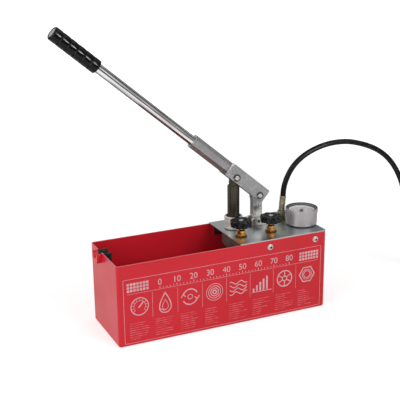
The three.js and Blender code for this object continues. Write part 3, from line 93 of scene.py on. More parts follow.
X_TO_Z = Matrix(((0, 0, 1, 0), (1, 0, 0, 0), (0, 1, 0, 0), (0, 0, 0, 1)))
Z_TO_MINUS_Y = Matrix.Rotation(QUARTER, 4, "X")
LEVER_FRAME = Matrix.Translation((*PUMP, PIN_HEIGHT)) @ Matrix.Rotation(LEVER_ANGLE, 4, "Y")
LEVER_RISE = LEVER_FRAME @ Matrix.Translation((0, 0, LEVER_AXIS))
LEVER_LINE = LEVER_RISE @ Matrix.Rotation(QUARTER, 4, "Y")
LEAN_FRAME = Matrix.Translation(PORT) @ Matrix.Rotation(LEAN, 4, "Y")
END_FRAME = Matrix.Translation((570.1, -113.0, 12.3)) @ Matrix.Rotation(QUARTER, 4, "Y")


# What a user may change


def colour(name, text, value):
    return bpy.props.FloatVectorProperty(
        name=name, description=text, subtype="COLOR", size=3, min=0, max=1, default=value)


def size(name, text, value):
    return bpy.props.FloatProperty(
        name=name, description=text, unit="LENGTH", min=0, precision=5, default=value * MM)


class PumpColours(bpy.types.PropertyGroup):
    """Colours of the pump's finishes."""

    paint: colour("Tank paint", "Red powder coat of the tank", (0.68, 0.017, 0.032))
    paint_shade: colour("Tank paint, shaded", "Deeper red in the slow variation", (0.58, 0.009, 0.018))
    print_ink: colour("Print", "Pale print on the tank's front", (0.82, 0.50, 0.54))
    plated: colour("Top plate", "Plated steel sheet", (0.49, 0.495, 0.52))
    zinc: colour("Zinc", "Zinc coated steel of lever and link", (0.44, 0.43, 0.435))
    milled: colour("Milled steel", "Bright milled steel of the link", (0.60, 0.58, 0.56))
    bright: colour("Bright tube", "Bright steel of the lever tube", (0.78, 0.78, 0.78))
    plunger: colour("Plunger", "Ground steel of the plunger", (0.055, 0.051, 0.040))
    iron: colour("Casting", "Cast body under the plate", (0.13, 0.11, 0.09))
    brass: colour("Brass", "Brass of the valves", (0.48, 0.215, 0.042))
    black: colour("Knob", "Black plastic of knobs and rest", (0.003, 0.003, 0.003))
    grey: colour("End plug", "Grey plastic of the lever's plug", (0.42, 0.42, 0.41))
    rubber: colour("Rubber", "Black rubber of grip and hose", (0.004, 0.004, 0.0045))
    dark: colour("Dark steel", "Blackened steel of clips and springs", (0.022, 0.022, 0.024))
    gauge: colour("Gauge case", "Satin grey gauge case", (0.47, 0.445, 0.455))
    dial: colour("Dial", "Pale gauge dial", (0.93, 0.89, 0.91))
    crimped: colour("Crimped steel", "Yellow-grey coated hose ends", (0.40, 0.36, 0.26))
    screws: colour("Screws", "Pale zinc of screws and pins", (0.66, 0.65, 0.62))


class PumpSizes(bpy.types.PropertyGroup):
    """Small sizes of the visible pieces; the main sizes are the frame's."""

    sheet_edge: size("Sheet edge", "Rounding of the tank's rim", 0.5)
    cut_edge: size("Cut edge", "Rounding of cut and sawn steel edges", 0.7)
    turned_edge: size("Turned edge", "Rounding of turned edges", 0.35)
    print_height: size("Print height", "How far the print stands off the paint", 0.08)
    line_width: size("Print line", "Width of a printed line", 0.75)
    grip_groove: size("Grip groove", "Depth of the grip's grooves", 1.3)
    knob_rib: size("Knob rib", "Width of the ribs in a knob's dish", 1.3)
    dial_mark: size("Dial mark", "Length of a short mark on the dial", 2.2)


def tint(name):
    return tuple(getattr(bpy.context.scene.test_pump_colours, name))


def length(name):
    return getattr(bpy.context.scene.test_pump_sizes, name) / MM


# Node trees written as expressions


def operator(operation):
    """A method that adds the Math node of that operation."""
    return lambda self, other: self.done(operation, other)


class Wire:
    """An output socket that can be added, multiplied and so on."""

    def __init__(self, graph, socket):
        self.graph, self.socket = graph, socket

    def done(self, operation, *others):
        return self.graph.node("ShaderNodeMath", {"operation": operation}, dict(enumerate((self, *others))))

    __add__ = __radd__ = operator("ADD")
    __mul__ = __rmul__ = operator("MULTIPLY")
    __sub__ = operator("SUBTRACT")
    __truediv__ = operator("DIVIDE")
    __mod__ = operator("FLOORED_MODULO")
    __pow__ = operator("POWER")
    __lt__ = operator("LESS_THAN")

    def __rsub__(self, other):
        return self.graph.node("ShaderNodeMath", {"operation": "SUBTRACT"}, {0: other, 1: self})

    def other(self, output):
        """Another output of the same node."""
        return Wire(self.graph, self.socket.node.outputs[output])


class Graph:
    """A node tree, and the one way in which nodes are added to it."""

    def __init__(self, tree):
        self.tree = tree

    def node(self, kind, settings=None, inputs=None, output=0):
        node = self.tree.nodes.new(kind)
        for name, value in (settings or {}).items():
            setattr(node, name, value)
        for key, value in (inputs or {}).items():
            if isinstance(value, Wire):
                self.tree.links.new(value.socket, node.inputs[key])
            else:
                node.inputs[key].default_value = value
        return Wire(self, node.outputs[output]) if node.outputs else None

    def vector(self, x=0.0, y=0.0, z=0.0):
        return self.node("ShaderNodeCombineXYZ", {}, {0: x, 1: y, 2: z})

    def parts(self, vector):
        split = self.node("ShaderNodeSeparateXYZ", {}, {0: vector})
        return split, split.other(1), split.other(2)

    def spread(self, value, low, high, first=0.0, last=1.0):
        """value from low to high becomes first to last, smoothly, and stays there beyond."""
        return self.node("ShaderNodeMapRange", {"interpolation_type": "SMOOTHSTEP"},
                         {0: value, 1: low, 2: high, 3: first, 4: last})

    def seen_and_glossy(self):
        """1 for what the camera sees, also through the lens, and 1 for what shines on a piece."""
        path = self.node("ShaderNodeLightPath", {}, {}, "Is Camera Ray")
        return path.done("MAXIMUM", path.other("Is Transmission Ray")), path.other("Is Glossy Ray")


class Finish(Graph):
    """The node tree of one material, with the place on the object as its first wire."""

    def __init__(self, name):
        self.material = bpy.data.materials.new(name)
        self.material.use_nodes = True
        super().__init__(self.material.node_tree)
        self.tree.nodes.clear()
        self.place = self.node("ShaderNodeTexCoord", {}, {}, "Object")

    def height(self):
        return self.parts(self.place)[2]

    def turned(self, scale=(1, 1, 1), location=(0, 0, 0)):
        return self.node(
            "ShaderNodeMapping", {}, {"Vector": self.place, "Scale": scale, "Location": location})

    def noise(self, scale, detail=3.0, roughness=0.55, place=None):
        return self.node("ShaderNodeTexNoise", {}, {
            "Vector": place or self.place, "Scale": scale, "Detail": detail, "Roughness": roughness}, "Fac")

    def patches(self, scale, detail, low, high, *more):
        """Noise with its middle spread from 0 to 1."""
        return self.spread(self.noise(scale, detail, *more), low, high)

    def mix(self, share, first, second):
        pair = [value if isinstance(value, Wire) else (*value, 1) for value in (first, second)]
        return self.node("ShaderNodeMix", {"data_type": "RGBA"}, {0: share, 6: pair[0], 7: pair[1]}, 2)

    def layered(self, base, *layers):
        """The base under layers, each of a share and a colour."""
        for share, shade in layers:
            base = self.mix(share, base, shade)
        return base

    def edges(self, radius, low=0.02, high=0.2):
        """0 on flat faces, up to 1 along edges that the bevel sampler rounds."""
        rounded = self.node("ShaderNodeBevel", {"samples": 4}, {"Radius": radius * MM})
        flat = self.node("ShaderNodeNewGeometry", {}, {}, "Normal")
        along = self.node(
            "ShaderNodeVectorMath", {"operation": "DOT_PRODUCT"}, {0: rounded, 1: flat}, "Value")
        return self.spread(1 - along, low, high)

    def coat(self, base, roughness, relief=None, metallic=None, specular=None, alpha=None):
        """Ends in one principled shader; relief is a bump's height, distance in millimetres and strength."""
        inputs = {"Base Color": base, "Roughness": roughness, "Metallic": metallic,
                  "Specular IOR Level": specular, "Alpha": alpha}
        if relief:
            height, distance, strength = relief
            inputs["Normal"] = self.node(
                "ShaderNodeBump", {}, {"Height": height, "Distance": distance * MM, "Strength": strength})
        given = {key: value for key, value in inputs.items() if value is not None}
        return self.ended(self.node("ShaderNodeBsdfPrincipled", {}, given))

    def ended(self, shader):
        self.node("ShaderNodeOutputMaterial", {}, {"Surface": shader})
        return self.material

    def grained(self, grain, band, first, last, edge, rough, relief=None, **more):
        """A coat of one grain between two shades, with paler edges where edge says so."""
        base = self.mix(self.spread(grain, *band) if band else grain, first, last)
        if edge:
            base = self.mix(self.edges(edge[0]) * edge[1], base, edge[2])
        return self.coat(base, grain * rough[0] + rough[1], relief and (grain, *relief), **more)


def toned(shade, *shares):
    return tuple(part * share for part, share in zip(shade, shares * (3 // len(shares))))


def paler(shade, share):
    return tuple(part + (1 - part) * share for part in shade)


# Finishes


def red_paint(finish):
    shade = tint("paint")
    worn = finish.edges(1.2) * finish.patches(90.0, 4.0, 0.42, 0.62)
    # Painted highlight: the top of the rim is paler, where the rim catches the light.
    rim = finish.spread(finish.height(), 0.1878, 0.1884)
    base = finish.layered(
        shade, (finish.patches(5.0, 2.0, 0.35, 0.7) * 0.6, tint("paint_shade")),
        (finish.patches(260.0, 4.0, 0.66, 0.8) * 0.16, paler(shade, 0.25)), (worn * 0.5, paler(shade, 0.3)),
        (rim * 0.4, paler(shade, 0.3)))
    peel = finish.noise(950.0, 2.0) + finish.noise(320.0, 1.0) * 0.7
    return finish.coat(base, finish.noise(14.0) * 0.12 + 0.26, (peel, 0.04, 0.35), specular=0.3)


def print_ink(finish):
    shade = tint("print_ink")
    base = finish.mix(finish.patches(60.0, 4.0, 0.3, 0.62) * 0.55, shade, toned(shade, 0.62))
    return finish.coat(base, finish.noise(80.0) * 0.1 + 0.42)


def small_print(finish):
    """Fine print, thinner on the paint than the bold lines."""
    ink = tuple(0.45 * a + 0.55 * b for a, b in zip(tint("print_ink"), tint("paint")))
    base = finish.mix(finish.patches(90.0, 4.0, 0.35, 0.6) * 0.7, ink, toned(tint("paint"), 0.95))
    return finish.coat(base, finish.noise(80.0) * 0.1 + 0.38, specular=0.3)


def plated_sheet(finish):
    shade = tint("plated")
    cloud = finish.noise(26.0, 4.0, 0.6)
    rosy = finish.patches(17.0, 2.0, 0.58, 0.74, 0.55, finish.turned(location=(3, 1, 0)))
    brushed = finish.noise(30.0, 5.0, 0.65, finish.turned((1, 34, 6)))
    base = finish.layered(
        shade, (finish.spread(cloud, 0.35, 0.65), toned(shade, 0.88, 1.0, 0.93)),
        (rosy * 0.5, toned(shade, 1.16, 0.94, 1.12)),
        (finish.spread(brushed, 0.5, 0.8) * 0.25, toned(shade, 0.6)),
        (finish.edges(0.8) * 0.7, paler(shade, 0.6)))
    return finish.coat(base, brushed * 0.12 + cloud * 0.16 + 0.19, (brushed, 0.02, 0.35), 1.0)


def zinc_steel(finish):
    shade = tint("zinc")
    grain = finish.noise(330.0, 4.0, 0.75)
    flakes = finish.node("ShaderNodeTexVoronoi", {}, {"Vector": finish.place, "Scale": 420.0}, "Distance")
    base = finish.layered(
        toned(shade, 0.66), (finish.spread(grain, 0.34, 0.7), paler(shade, 0.18)),
        (finish.patches(24.0, 3.0, 0.4, 0.7) * 0.4, toned(shade, 0.68)),
        (finish.edges(0.9) * 0.85, paler(shade, 0.75)))
    return finish.coat(base, grain * 0.16 + flakes * 0.1 + 0.26, (grain + flakes * 0.4, 0.03, 0.45), 0.82)


def milled_steel(finish):
    shade = tint("milled")
    cuts = finish.noise(40.0, 4.0, 0.6, finish.turned((16, 1, 1)))
    smoke = finish.patches(28.0, 3.0, 0.38, 0.68)
    base = finish.layered(
        shade, (finish.spread(cuts, 0.42, 0.72) * 0.5, toned(shade, 0.6)), (smoke * 0.15, toned(shade, 0.62)),
        # Painted shade: the link darkens towards its top, where the straps shade it.
        (finish.spread(finish.height(), 0.222, 0.262) * 0.6, toned(shade, 0.42)),
        (finish.edges(0.8) * 0.7, paler(shade, 0.6)))
    return finish.coat(base, cuts * 0.12 + smoke * 0.08 + 0.22, (cuts, 0.03, 0.4), 0.95)


def bright_tube(finish):
    """Drawn tube: long streaks run with its own axis, over fine crystals of zinc."""
    shade = tint("bright")
    place, turn = LEVER_LINE.to_translation() * MM, LEVER_LINE.to_euler()
    own = finish.node("ShaderNodeMapping", {"vector_type": "TEXTURE"}, {
        "Vector": finish.place, "Location": place, "Rotation": turn, "Scale": (1, 1, 26)})
    drawn = finish.noise(300.0, 4.0, 0.6, own)
    spangle = finish.noise(150.0, 3.0)
    # Painted shade: a dark band along the tube's underside, below its axis.
    under = finish.spread(finish.parts(own)[0] + (drawn - 0.5) * 0.003, 0.0066, 0.0094)
    base = finish.layered(
        shade, (finish.spread(drawn, 0.46, 0.62) * 0.55, toned(shade, 0.3)),
        (finish.patches(110.0, 2.0, 0.5, 0.6, 0.5, own) * 0.45, toned(shade, 0.35)),
        (finish.spread(spangle, 0.55, 0.75) * 0.12, paler(shade, 0.5)), (under * 0.85, toned(shade, 0.12)))
    return finish.coat(base, drawn * 0.08 + spangle * 0.02 + 0.07, (drawn, 0.01, 0.06), 1.0)


def plunger_steel(finish):
    shade = tint("plunger")
    rings = finish.noise(34.0, 4.0, 0.6, finish.turned((1, 1, 16)))
    film = finish.patches(30.0, 3.0, 0.35, 0.7)
    base = finish.layered(shade, (film * 0.6, toned(shade, 1.7, 1.55, 1.3)),
                          (finish.spread(rings, 0.5, 0.75) * 0.35, toned(shade, 0.5)))
    return finish.coat(base, rings * 0.14 + film * 0.08 + 0.25, (rings, 0.02, 0.35), 0.75)


def cast_iron(finish):
    shade = tint("iron")
    return finish.grained(finish.noise(520.0, 5.0, 0.7), (0.35, 0.7), toned(shade, 0.6), paler(shade, 0.08),
                          (1.6, 0.6, paler(shade, 0.3)), (0.25, 0.4), (0.25, 0.7), metallic=0.45)


def brass(finish):
    shade = tint("brass")
    # Painted shade: the body turns dark brown towards its foot on the plate.
    foot_shade = finish.spread(finish.height() + finish.noise(130.0, 4.0) * 0.006, 0.1945, 0.2035, 0.9, 0.0)
    marks = finish.noise(60.0, 4.0, 0.6, finish.turned((1, 1, 22)))
    base = finish.layered(shade, (finish.spread(marks, 0.4, 0.75), toned(shade, 1.25, 1.3, 1.5)),
                          (foot_shade, (0.07, 0.026, 0.008)), (finish.edges(0.6) * 0.6, (0.80, 0.48, 0.16)))
    return finish.coat(base, marks * 0.15 + foot_shade * 0.15 + 0.16, (marks, 0.02, 0.4), 1.0)


def black_plastic(finish):
    shade = tint("black")
    # The paler edges are a painted highlight: glints along the lobes, ribs and rims.
    return finish.grained(finish.noise(160.0, 4.0), (0.4, 0.75), shade, paler(shade, 0.035),
                          (0.9, 0.5, paler(shade, 0.2)), (0.16, 0.16), (0.05, 0.35), specular=0.1)


def grey_plastic(finish):
    shade = tint("grey")
    return finish.grained(finish.noise(240.0, 4.0), None, toned(shade, 0.75), paler(shade, 0.12),
                          None, (0.2, 0.38), (0.06, 0.5))


def rubber(finish):
    shade = tint("rubber")
    grain, dust = finish.noise(900.0, 3.0, 0.65), finish.patches(70.0, 5.0, 0.5, 0.8)
    return finish.coat(finish.mix(dust * 0.5, shade, paler(shade, 0.05)), grain * 0.2 + dust * 0.1 + 0.22,
                       (grain, 0.05, 0.4), specular=0.12)


def grip_vinyl(finish):
    """Dipped vinyl: smooth and glossy, with handling scuffs."""
    shade = tint("rubber")
    scuff, fine = finish.patches(85.0, 5.0, 0.5, 0.78, 0.6), finish.noise(420.0, 3.0)
    return finish.coat(finish.mix(scuff * 0.5, shade, paler(shade, 0.035)), scuff * 0.12 + fine * 0.06 + 0.08,
                       (fine, 0.02, 0.2), specular=0.16)


def hose_rubber(finish):
    """Wrapped cover: the cloth's fine cross lines follow the hose by its own map."""
    shade = tint("rubber")
    around, along = finish.parts(finish.node("ShaderNodeUVMap", {"uv_map": "hose_map"}))[:2]
    weave = (along * 820 + around * 3).done("SINE") * 0.5 + (around * 44).done("SINE") * 0.25
    scuff = finish.patches(46.0, 5.0, 0.5, 0.8, 0.6)
    return finish.coat(
        finish.mix(scuff * 0.7, shade, paler(shade, 0.05)), finish.noise(300.0) * 0.14 + scuff * 0.12 + 0.2,
        (weave + finish.noise(500.0) * 0.8, 0.03, 0.3), specular=0.14)


def dark_steel(finish):
    shade = tint("dark")
    return finish.grained(finish.noise(300.0, 4.0), None, toned(shade, 0.6), paler(shade, 0.12),
                          None, (0.2, 0.26), (0.02, 0.4), metallic=0.85)


def gauge_grey(finish):
    shade = tint("gauge")
    fine, slow = finish.noise(420.0, 3.0), finish.patches(32.0, 3.0, 0.35, 0.7)
    base = finish.layered(
        shade, (slow * 0.45, toned(shade, 0.8)), (finish.edges(0.7) * 0.55, paler(shade, 0.45)))
    return finish.coat(base, fine * 0.12 + slow * 0.05 + 0.4, (fine, 0.02, 0.35), 0.72)


def satin_zinc(finish):
    """Pale, soft zinc of the gland collar, with darker drifts, and painted shade near its foot on the plate.
    """
    shade = tint("screws")
    drift = finish.patches(120.0, 4.0, 0.42, 0.7)
    # Painted shade: darker just above the plate, at the collar's foot.
    foot = finish.spread(finish.height() + finish.noise(160.0, 3.0) * 0.005, 0.194, 0.199, 0.7, 0.0)
    base = finish.layered(paler(shade, 0.1), (drift * 0.5, toned(shade, 0.55)), (foot, toned(shade, 0.3)),
                          (finish.edges(0.7) * 0.5, paler(shade, 0.5)))
    return finish.coat(base, drift * 0.12 + 0.36, (drift, 0.03, 0.3), 0.45)


def dial_white(finish):
    shade, fine = tint("dial"), finish.noise(180.0, 4.0)
    return finish.coat(finish.mix(fine * 0.5, shade, toned(shade, 0.86)), fine * 0.15 + 0.42)


def dial_ink(finish):
    return finish.grained(finish.noise(240.0, 3.0), None, (0.03, 0.03, 0.035), (0.075, 0.07, 0.08),
                          None, (0.15, 0.45))


def clear_lens(finish):
    """Flat window: nearly clear seen square, and pale with the surroundings at a low angle."""
    sheen = finish.node("ShaderNodeFresnel", {}, {"IOR": 1.45})
    smear = finish.noise(70.0, 4.0)
    return finish.coat(finish.mix(smear * 0.3, (0.86, 0.86, 0.88), (0.7, 0.7, 0.74)), smear * 0.05 + 0.02,
                       alpha=sheen * 0.14 + smear * 0.01)


def crimped_steel(finish):
    shade = tint("crimped")
    return finish.grained(
        finish.noise(130.0, 4.0), (0.35, 0.7), toned(shade, 0.7), toned(shade, 1.35, 1.3, 1.2),
        (0.6, 0.6, paler(shade, 0.4)), (0.2, 0.24), (0.03, 0.4), metallic=0.85)


def screw_zinc(finish):
    shade, film = tint("screws"), finish.noise(210.0, 4.0)
    # Painted shade: the socket in each screw head is painted near black.
    shaded_recess = finish.node("ShaderNodeAttribute", {"attribute_name": "shaded_recess"}, {}, "Fac")
    base = finish.layered(shade, (finish.spread(film, 0.35, 0.75), toned(shade, 0.7)),
                          (finish.edges(0.5) * 0.5, paler(shade, 0.4)), (shaded_recess, (0.03, 0.022, 0.016)))
    return finish.coat(base, film * 0.18 + 0.24 + shaded_recess * 0.3, (film, 0.02, 0.4), 0.8 - shaded_recess * 0.5)


FINISHES = {maker.__name__: maker for maker in (
    red_paint, print_ink, small_print, plated_sheet, zinc_steel, milled_steel, bright_tube, plunger_steel,
    cast_iron, brass, black_plastic, grey_plastic, rubber, grip_vinyl, hose_rubber, dark_steel, gauge_grey,
    satin_zinc, dial_white, dial_ink, clear_lens, crimped_steel, screw_zinc)}

# Finishes whose pieces join the collection that the glint lamp lights
LIT_BY_GLINT = ("grip_vinyl", "hose_rubber", "black_plastic")


def finished(name):
    """The material of that name, made on its first use."""
    own_name = "pump_" + name
    return bpy.data.materials.get(own_name) or FINISHES[name](Finish(own_name))


# Shapes: lists of points and faces, in millimetres


def joined(*shapes):
    points, faces = [], []
    for more_points, more_faces in shapes:
        start = len(points)
        points.extend(more_points)
        faces.extend(tuple(start + corner for corner in face) for face in more_faces)
    return points, faces


def moved(shape, matrix):
    return [tuple(matrix @ Vector(point)) for point in shape[0]], shape[1]


def quarter(steps):
    """One less sine and one less cosine of a quarter turn's steps: the way round a rounded edge."""
    return [(1 - math.sin(QUARTER * step / steps), 1 - math.cos(QUARTER * step / steps))
            for step in range(steps + 1)]


def eased(profile, radius, steps=3):
    """The profile with each corner rounded; ends that lie on the axis stay."""
    whole = not (profile[0][0] == 0 and profile[-1][0] == 0)
    result = []
    for index, corner in enumerate(profile):
        here = Vector(corner)
        before = Vector(profile[index - 1]) - here
        after = Vector(profile[(index + 1) % len(profile)]) - here
        to, fro = before.normalized(), after.normalized()
        on_end = not whole and index in (0, len(profile) - 1)
        if on_end or min(before.length, after.length) < 0.05 or abs(to.cross(fro)) < 0.1:
            result.append(corner)
            continue
        reach = min(radius, before.length * 0.45, after.length * 0.45)
        first, last = here + to * reach, here + fro * reach
        for share in (step / steps for step in range(steps + 1)):
            result.append(tuple(
                first * (1 - share) ** 2 + here * (2 * share * (1 - share)) + last * share ** 2))
    return result


def walls(here, there, steps):
    """Faces between two closed rows of points, given by their first points' numbers."""
    return [(here + step, here + (step + 1) % steps, there + (step + 1) % steps, there + step)
            for step in range(steps)]


def lathe(profile, steps=96, form=None):
    """Pairs of radius and height turned about Z; a profile that leaves the axis closes on itself."""
    solid = profile[0][0] == 0 and profile[-1][0] == 0
    rows = profile[1:-1] if solid else profile
    points, faces = [], []
    for radius, height in rows:
        for angle in (TURN * step / steps for step in range(steps)):
            reach = form(angle, radius, height) if form else radius
            points.append((reach * math.cos(angle), reach * math.sin(angle), height))
    for row in range(len(rows) - 1 if solid else len(rows)):
        faces += walls(row * steps, (row + 1) % len(rows) * steps, steps)
    if solid:
        for row, height, flip in ((0, profile[0][1], False), (len(rows) - 1, profile[-1][1], True)):
            pole = len(points)
            points.append((0, 0, height))
            for step in range(steps):
                pair = (row * steps + step, row * steps + (step + 1) % steps)
                faces.append((pole, *pair) if flip else (pole, *reversed(pair)))
    return points, faces


def bore(radius, low, high, matrix, steps=48):
    """A cylinder to be cut away."""
    return moved(lathe([(0, low), (radius, low), (radius, high), (0, high)], steps), matrix)


def six_sided(across, low=-1e9, high=1e9, widest=None):
    """Cuts flats on a turned shape between two heights, where its radius isn't past the widest."""
    widest = across / math.sqrt(3) + 0.2 if widest is None else widest

    def form(angle, radius, height):
        if not low <= height <= high or radius > widest:
            return radius
        return min(radius, across / 2 / math.cos(angle % (TURN / 6) - TURN / 12))

    return form


def hex_rows(across, low, high, low_chamfer, high_chamfer, rows=5):
    """Outer rows of a hexagon bar; each chamfer is a cone, which draws an arc on every flat."""
    flat, corner = across / 2 - 0.25, across / math.sqrt(3) + 0.05
    rises = [step / rows for step in range(rows + 1)] if low_chamfer else [1]
    falls = [1 - step / rows for step in range(rows + 1)] if high_chamfer else [1]
    return ([(flat + (corner - flat) * share, low + low_chamfer * share) for share in rises]
            + [(flat + (corner - flat) * share, high - high_chamfer * share) for share in falls])


def rectangle_ring(half_x, half_y, corner, height, steps=8):
    """Points of a rectangle with rounded corners, anticlockwise from above."""
    corner = max(corner, 0.05)
    points = []
    for turn, (x, y) in enumerate(((1, 1), (-1, 1), (-1, -1), (1, -1))):
        for step in range(steps + 1):
            angle = (turn + step / steps) * QUARTER
            points.append((x * (half_x - corner) + corner * math.cos(angle),
                           y * (half_y - corner) + corner * math.sin(angle), height))
    return points


def skin(rings):
    """Rings of the same count joined in order, with the first and last filled."""
    count = len(rings[0])
    points = [point for ring in rings for point in ring]
    faces = [tuple(reversed(range(count))), tuple(range(len(points) - count, len(points)))]
    for row in range(len(rings) - 1):
        faces += walls(row * count, (row + 1) * count, count)
    return points, faces


def slab(outline, low, high, matrix):
    """A flat outline carried from low to high along Z, then placed."""
    return moved(skin([[(x, y, height) for x, y in outline] for height in (low, high)]), matrix)


def spoke(radius, angle, centre=(0, 0)):
    """The point at that angle, in degrees, on a circle."""
    angle = math.radians(angle)
    return centre[0] + radius * math.cos(angle), centre[1] + radius * math.sin(angle)


def arc(centre, radius, start, end, steps=8):
    """Points of an arc, in degrees."""
    return [spoke(radius, start + (end - start) * step / steps, centre) for step in range(steps + 1)]


def rounded_outline(low_x, high_x, low_y, high_y, radius):
    corners = ((high_x - radius, high_y - radius), (low_x + radius, high_y - radius),
               (low_x + radius, low_y + radius), (high_x - radius, low_y + radius))
    return [point for turn, corner in enumerate(corners)
            for point in arc(corner, radius, 90 * turn, 90 * turn + 90)]


def swept(points, radius, sides):
    """A round bar along points, its section carried on without twist."""
    last = len(points) - 1
    along = [(points[min(i + 1, last)] - points[max(i - 1, 0)]).normalized() for i in range(last + 1)]
    across = along[0].orthogonal().normalized()
    rings = []
    for here, ahead in zip(points, along):
        across = (across - ahead * across.dot(ahead)).normalized()
        square = ahead.cross(across)
        rings.append([tuple(here + (across * math.cos(angle) + square * math.sin(angle)) * radius)
                      for angle in (TURN * step / sides for step in range(sides))])
    return skin(rings)


# Objects


def linked(name, data):
    made = bpy.data.objects.new(name, data)
    bpy.context.scene.collection.objects.link(made)
    return made


def thing(name, shape):
    mesh = bpy.data.meshes.new(name)
    mesh.from_pydata([tuple(part * MM for part in point) for point in shape[0]], [], shape[1])
    return linked(name, mesh)


def evaluated_mesh(made, **how):
    bpy.context.view_layer.update()
    graph = bpy.context.evaluated_depsgraph_get()
    return bpy.data.meshes.new_from_object(made.evaluated_get(graph), depsgraph=graph, **how)


def baked(made):
    """Its modifiers' result becomes its own mesh."""
    mesh = evaluated_mesh(made, preserve_all_data_layers=True)
    made.modifiers.clear()
    old, made.data = made.data, mesh
    bpy.data.meshes.remove(old)
    return made


def cleaned(made, weld=1e-6, flat=None):
    """Doubles merged, flat faces dissolved if an angle is given, and faces turned outwards."""
    work = bmesh.new()
    work.from_mesh(made.data)
    bmesh.ops.remove_doubles(work, verts=work.verts, dist=weld)
    if flat:
        bmesh.ops.dissolve_limit(work, angle_limit=flat, verts=work.verts, edges=work.edges)
    bmesh.ops.recalc_face_normals(work, faces=work.faces)
    work.to_mesh(made.data)
    work.free()
    return made


def merged(name, objects):
    """Several mesh objects at the origin as one."""
    work = bmesh.new()
    for made in objects:
        work.from_mesh(made.data)
        bpy.data.objects.remove(made)
    mesh = bpy.data.meshes.new(name)
    work.to_mesh(mesh)
    work.free()
    return cleaned(linked(name, mesh), 1e-7)


def rounded_edges(made, width):
    bevel = made.modifiers.new("edges", "BEVEL")
    bevel.width, bevel.segments = width * MM, 2
    bevel.limit_method, bevel.angle_limit = "ANGLE", math.radians(35)
    return baked(made)


def cut(made, *shapes):
    """Takes closed shapes away from an object."""
    for shape in shapes:
        cutter = cleaned(thing("cutter", shape))
        boolean = made.modifiers.new("cut", "BOOLEAN")
        boolean.operation, boolean.object, boolean.solver = "DIFFERENCE", cutter, "EXACT"
        baked(made)
        bpy.data.objects.remove(cutter)
    return made


def glossy_black():
    """The pieces that the small lamp lights."""
    return bpy.data.collections.get("glossy_black") or bpy.data.collections.new("glossy_black")


def piece(made, finish, *nodes, slot=None, smooth=38):
    """Paints an object, shades it, and has it ride on the body of the CAD nodes that it replaces."""
    made.data.materials.clear()
    made.data.materials.append(finished(finish))
    made.data.shade_smooth()
    made.data.set_sharp_from_angle(angle=math.radians(smooth))
    weighted = made.modifiers.new("shading", "WEIGHTED_NORMAL")
    weighted.keep_sharp = True
    baked(made)
    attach(made, frame["nodes"][nodes[0]]["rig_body"] if nodes else "base")
    if finish in LIT_BY_GLINT:
        glossy_black().objects.link(made)
    if nodes:
        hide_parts(*nodes)
    return made


def shaped(name, shape, finish, *nodes, cuts=(), edge=None, **how):
    """One piece straight from a shape."""
    made = cut(cleaned(thing(name, shape)), *cuts)
    if edge:
        rounded_edges(made, edge)
    return piece(made, finish, *nodes, **how)


def turned(name, rows, place, finish, *nodes, soft=None, steps=96, form=None, **how):
    """One turned piece; soft is the rounding of its corners."""
    rows = eased(rows, soft) if soft else rows
    return shaped(name, moved(lathe(rows, steps, form), place), finish, *nodes, **how)


def copied(node, name):
    """A merged copy of a CAD node, with its flat faces whole."""
    return cleaned(linked(name, frame["nodes"][node].data.copy()), 2e-5, math.radians(1.0))


def softened(node, name, finish, edge):
    """A fuller copy of a CAD node, with its edges rounded."""
    made = copied(node, name)
    if edge:
        rounded_edges(made, edge)
    return piece(made, finish, node)


def painted(finish, node):
    """A CAD node whose own shape is right gets its material."""
    mesh = frame["nodes"][node].data
    mesh.materials.clear()
    mesh.materials.append(finished(finish))


# Geometry Nodes for what repeats


class Tree(Graph):
    """A Geometry Nodes tree with named inputs, which ends in Realize Instances and Set Material."""

    def __init__(self, name, **inputs):
        super().__init__(bpy.data.node_groups.new(name, "GeometryNodeTree"))
        face = self.tree.interface
        for way in ("INPUT", "OUTPUT"):
            face.new_socket(name="Geometry", in_out=way, socket_type="NodeSocketGeometry")
        self.keys = {}
        for kind, labels in {**inputs, "Material": ("Material",)}.items():
            for label in labels:
                socket = face.new_socket(name=label, in_out="INPUT", socket_type="NodeSocket" + kind)
                self.keys[label] = socket.identifier
        self.start = self.tree.nodes.new("NodeGroupInput")

    def __getitem__(self, label):
        return Wire(self, self.start.outputs[label])

    def finish(self, instances):
        real = self.node("GeometryNodeRealizeInstances", {}, {"Geometry": instances})
        coated = self.node("GeometryNodeSetMaterial", {}, {"Geometry": real, "Material": self["Material"]})
        self.node("NodeGroupOutput", {}, {"Geometry": coated})
        return self

    def line(self, count):
        """A row of points to be spread out, and the number of each."""
        return (self.node("GeometryNodeMeshLine", {}, {"Count": count}),
                self.node("GeometryNodeInputIndex"))

    def longer(self, index):
        """1 for the marks that are longer, and how much longer each mark is."""
        is_long = (index + 0.5) % self["Long every"] < 1
        return is_long, 1 + is_long * (self["Long share"] - 1)

    def bars(self, points, place, sizes, turn=None, scale=(1, 1, 1)):
        """A block on each point, and the end of the tree."""
        inputs = {"Points": self.node("GeometryNodeSetPosition", {}, {"Geometry": points, "Position": place}),
                  "Instance": self.node("GeometryNodeMeshCube", {}, {"Size": self.vector(*sizes)}),
                  "Scale": scale}
        if turn:
            inputs["Rotation"] = self.node("FunctionNodeEulerToRotation", {}, {0: turn})
        return self.finish(self.node("GeometryNodeInstanceOnPoints", {}, inputs))


def fastener_tree():
    """Copies of one fastener on points that carry their own turn."""
    tree = Tree("Fasteners on points", Object=("Fastener",), Float=("Size",))
    turn = tree.node("GeometryNodeInputNamedAttribute", {"data_type": "FLOAT_VECTOR"}, {"Name": "turn"})
    return tree.finish(tree.node("GeometryNodeInstanceOnPoints", {}, {
        "Points": tree["Geometry"],
        "Instance": tree.node("GeometryNodeObjectInfo", {}, {"Object": tree["Fastener"]}, "Geometry"),
        "Rotation": tree.node("FunctionNodeEulerToRotation", {}, {0: turn}),
        "Scale": tree.vector(tree["Size"], tree["Size"], tree["Size"])}))


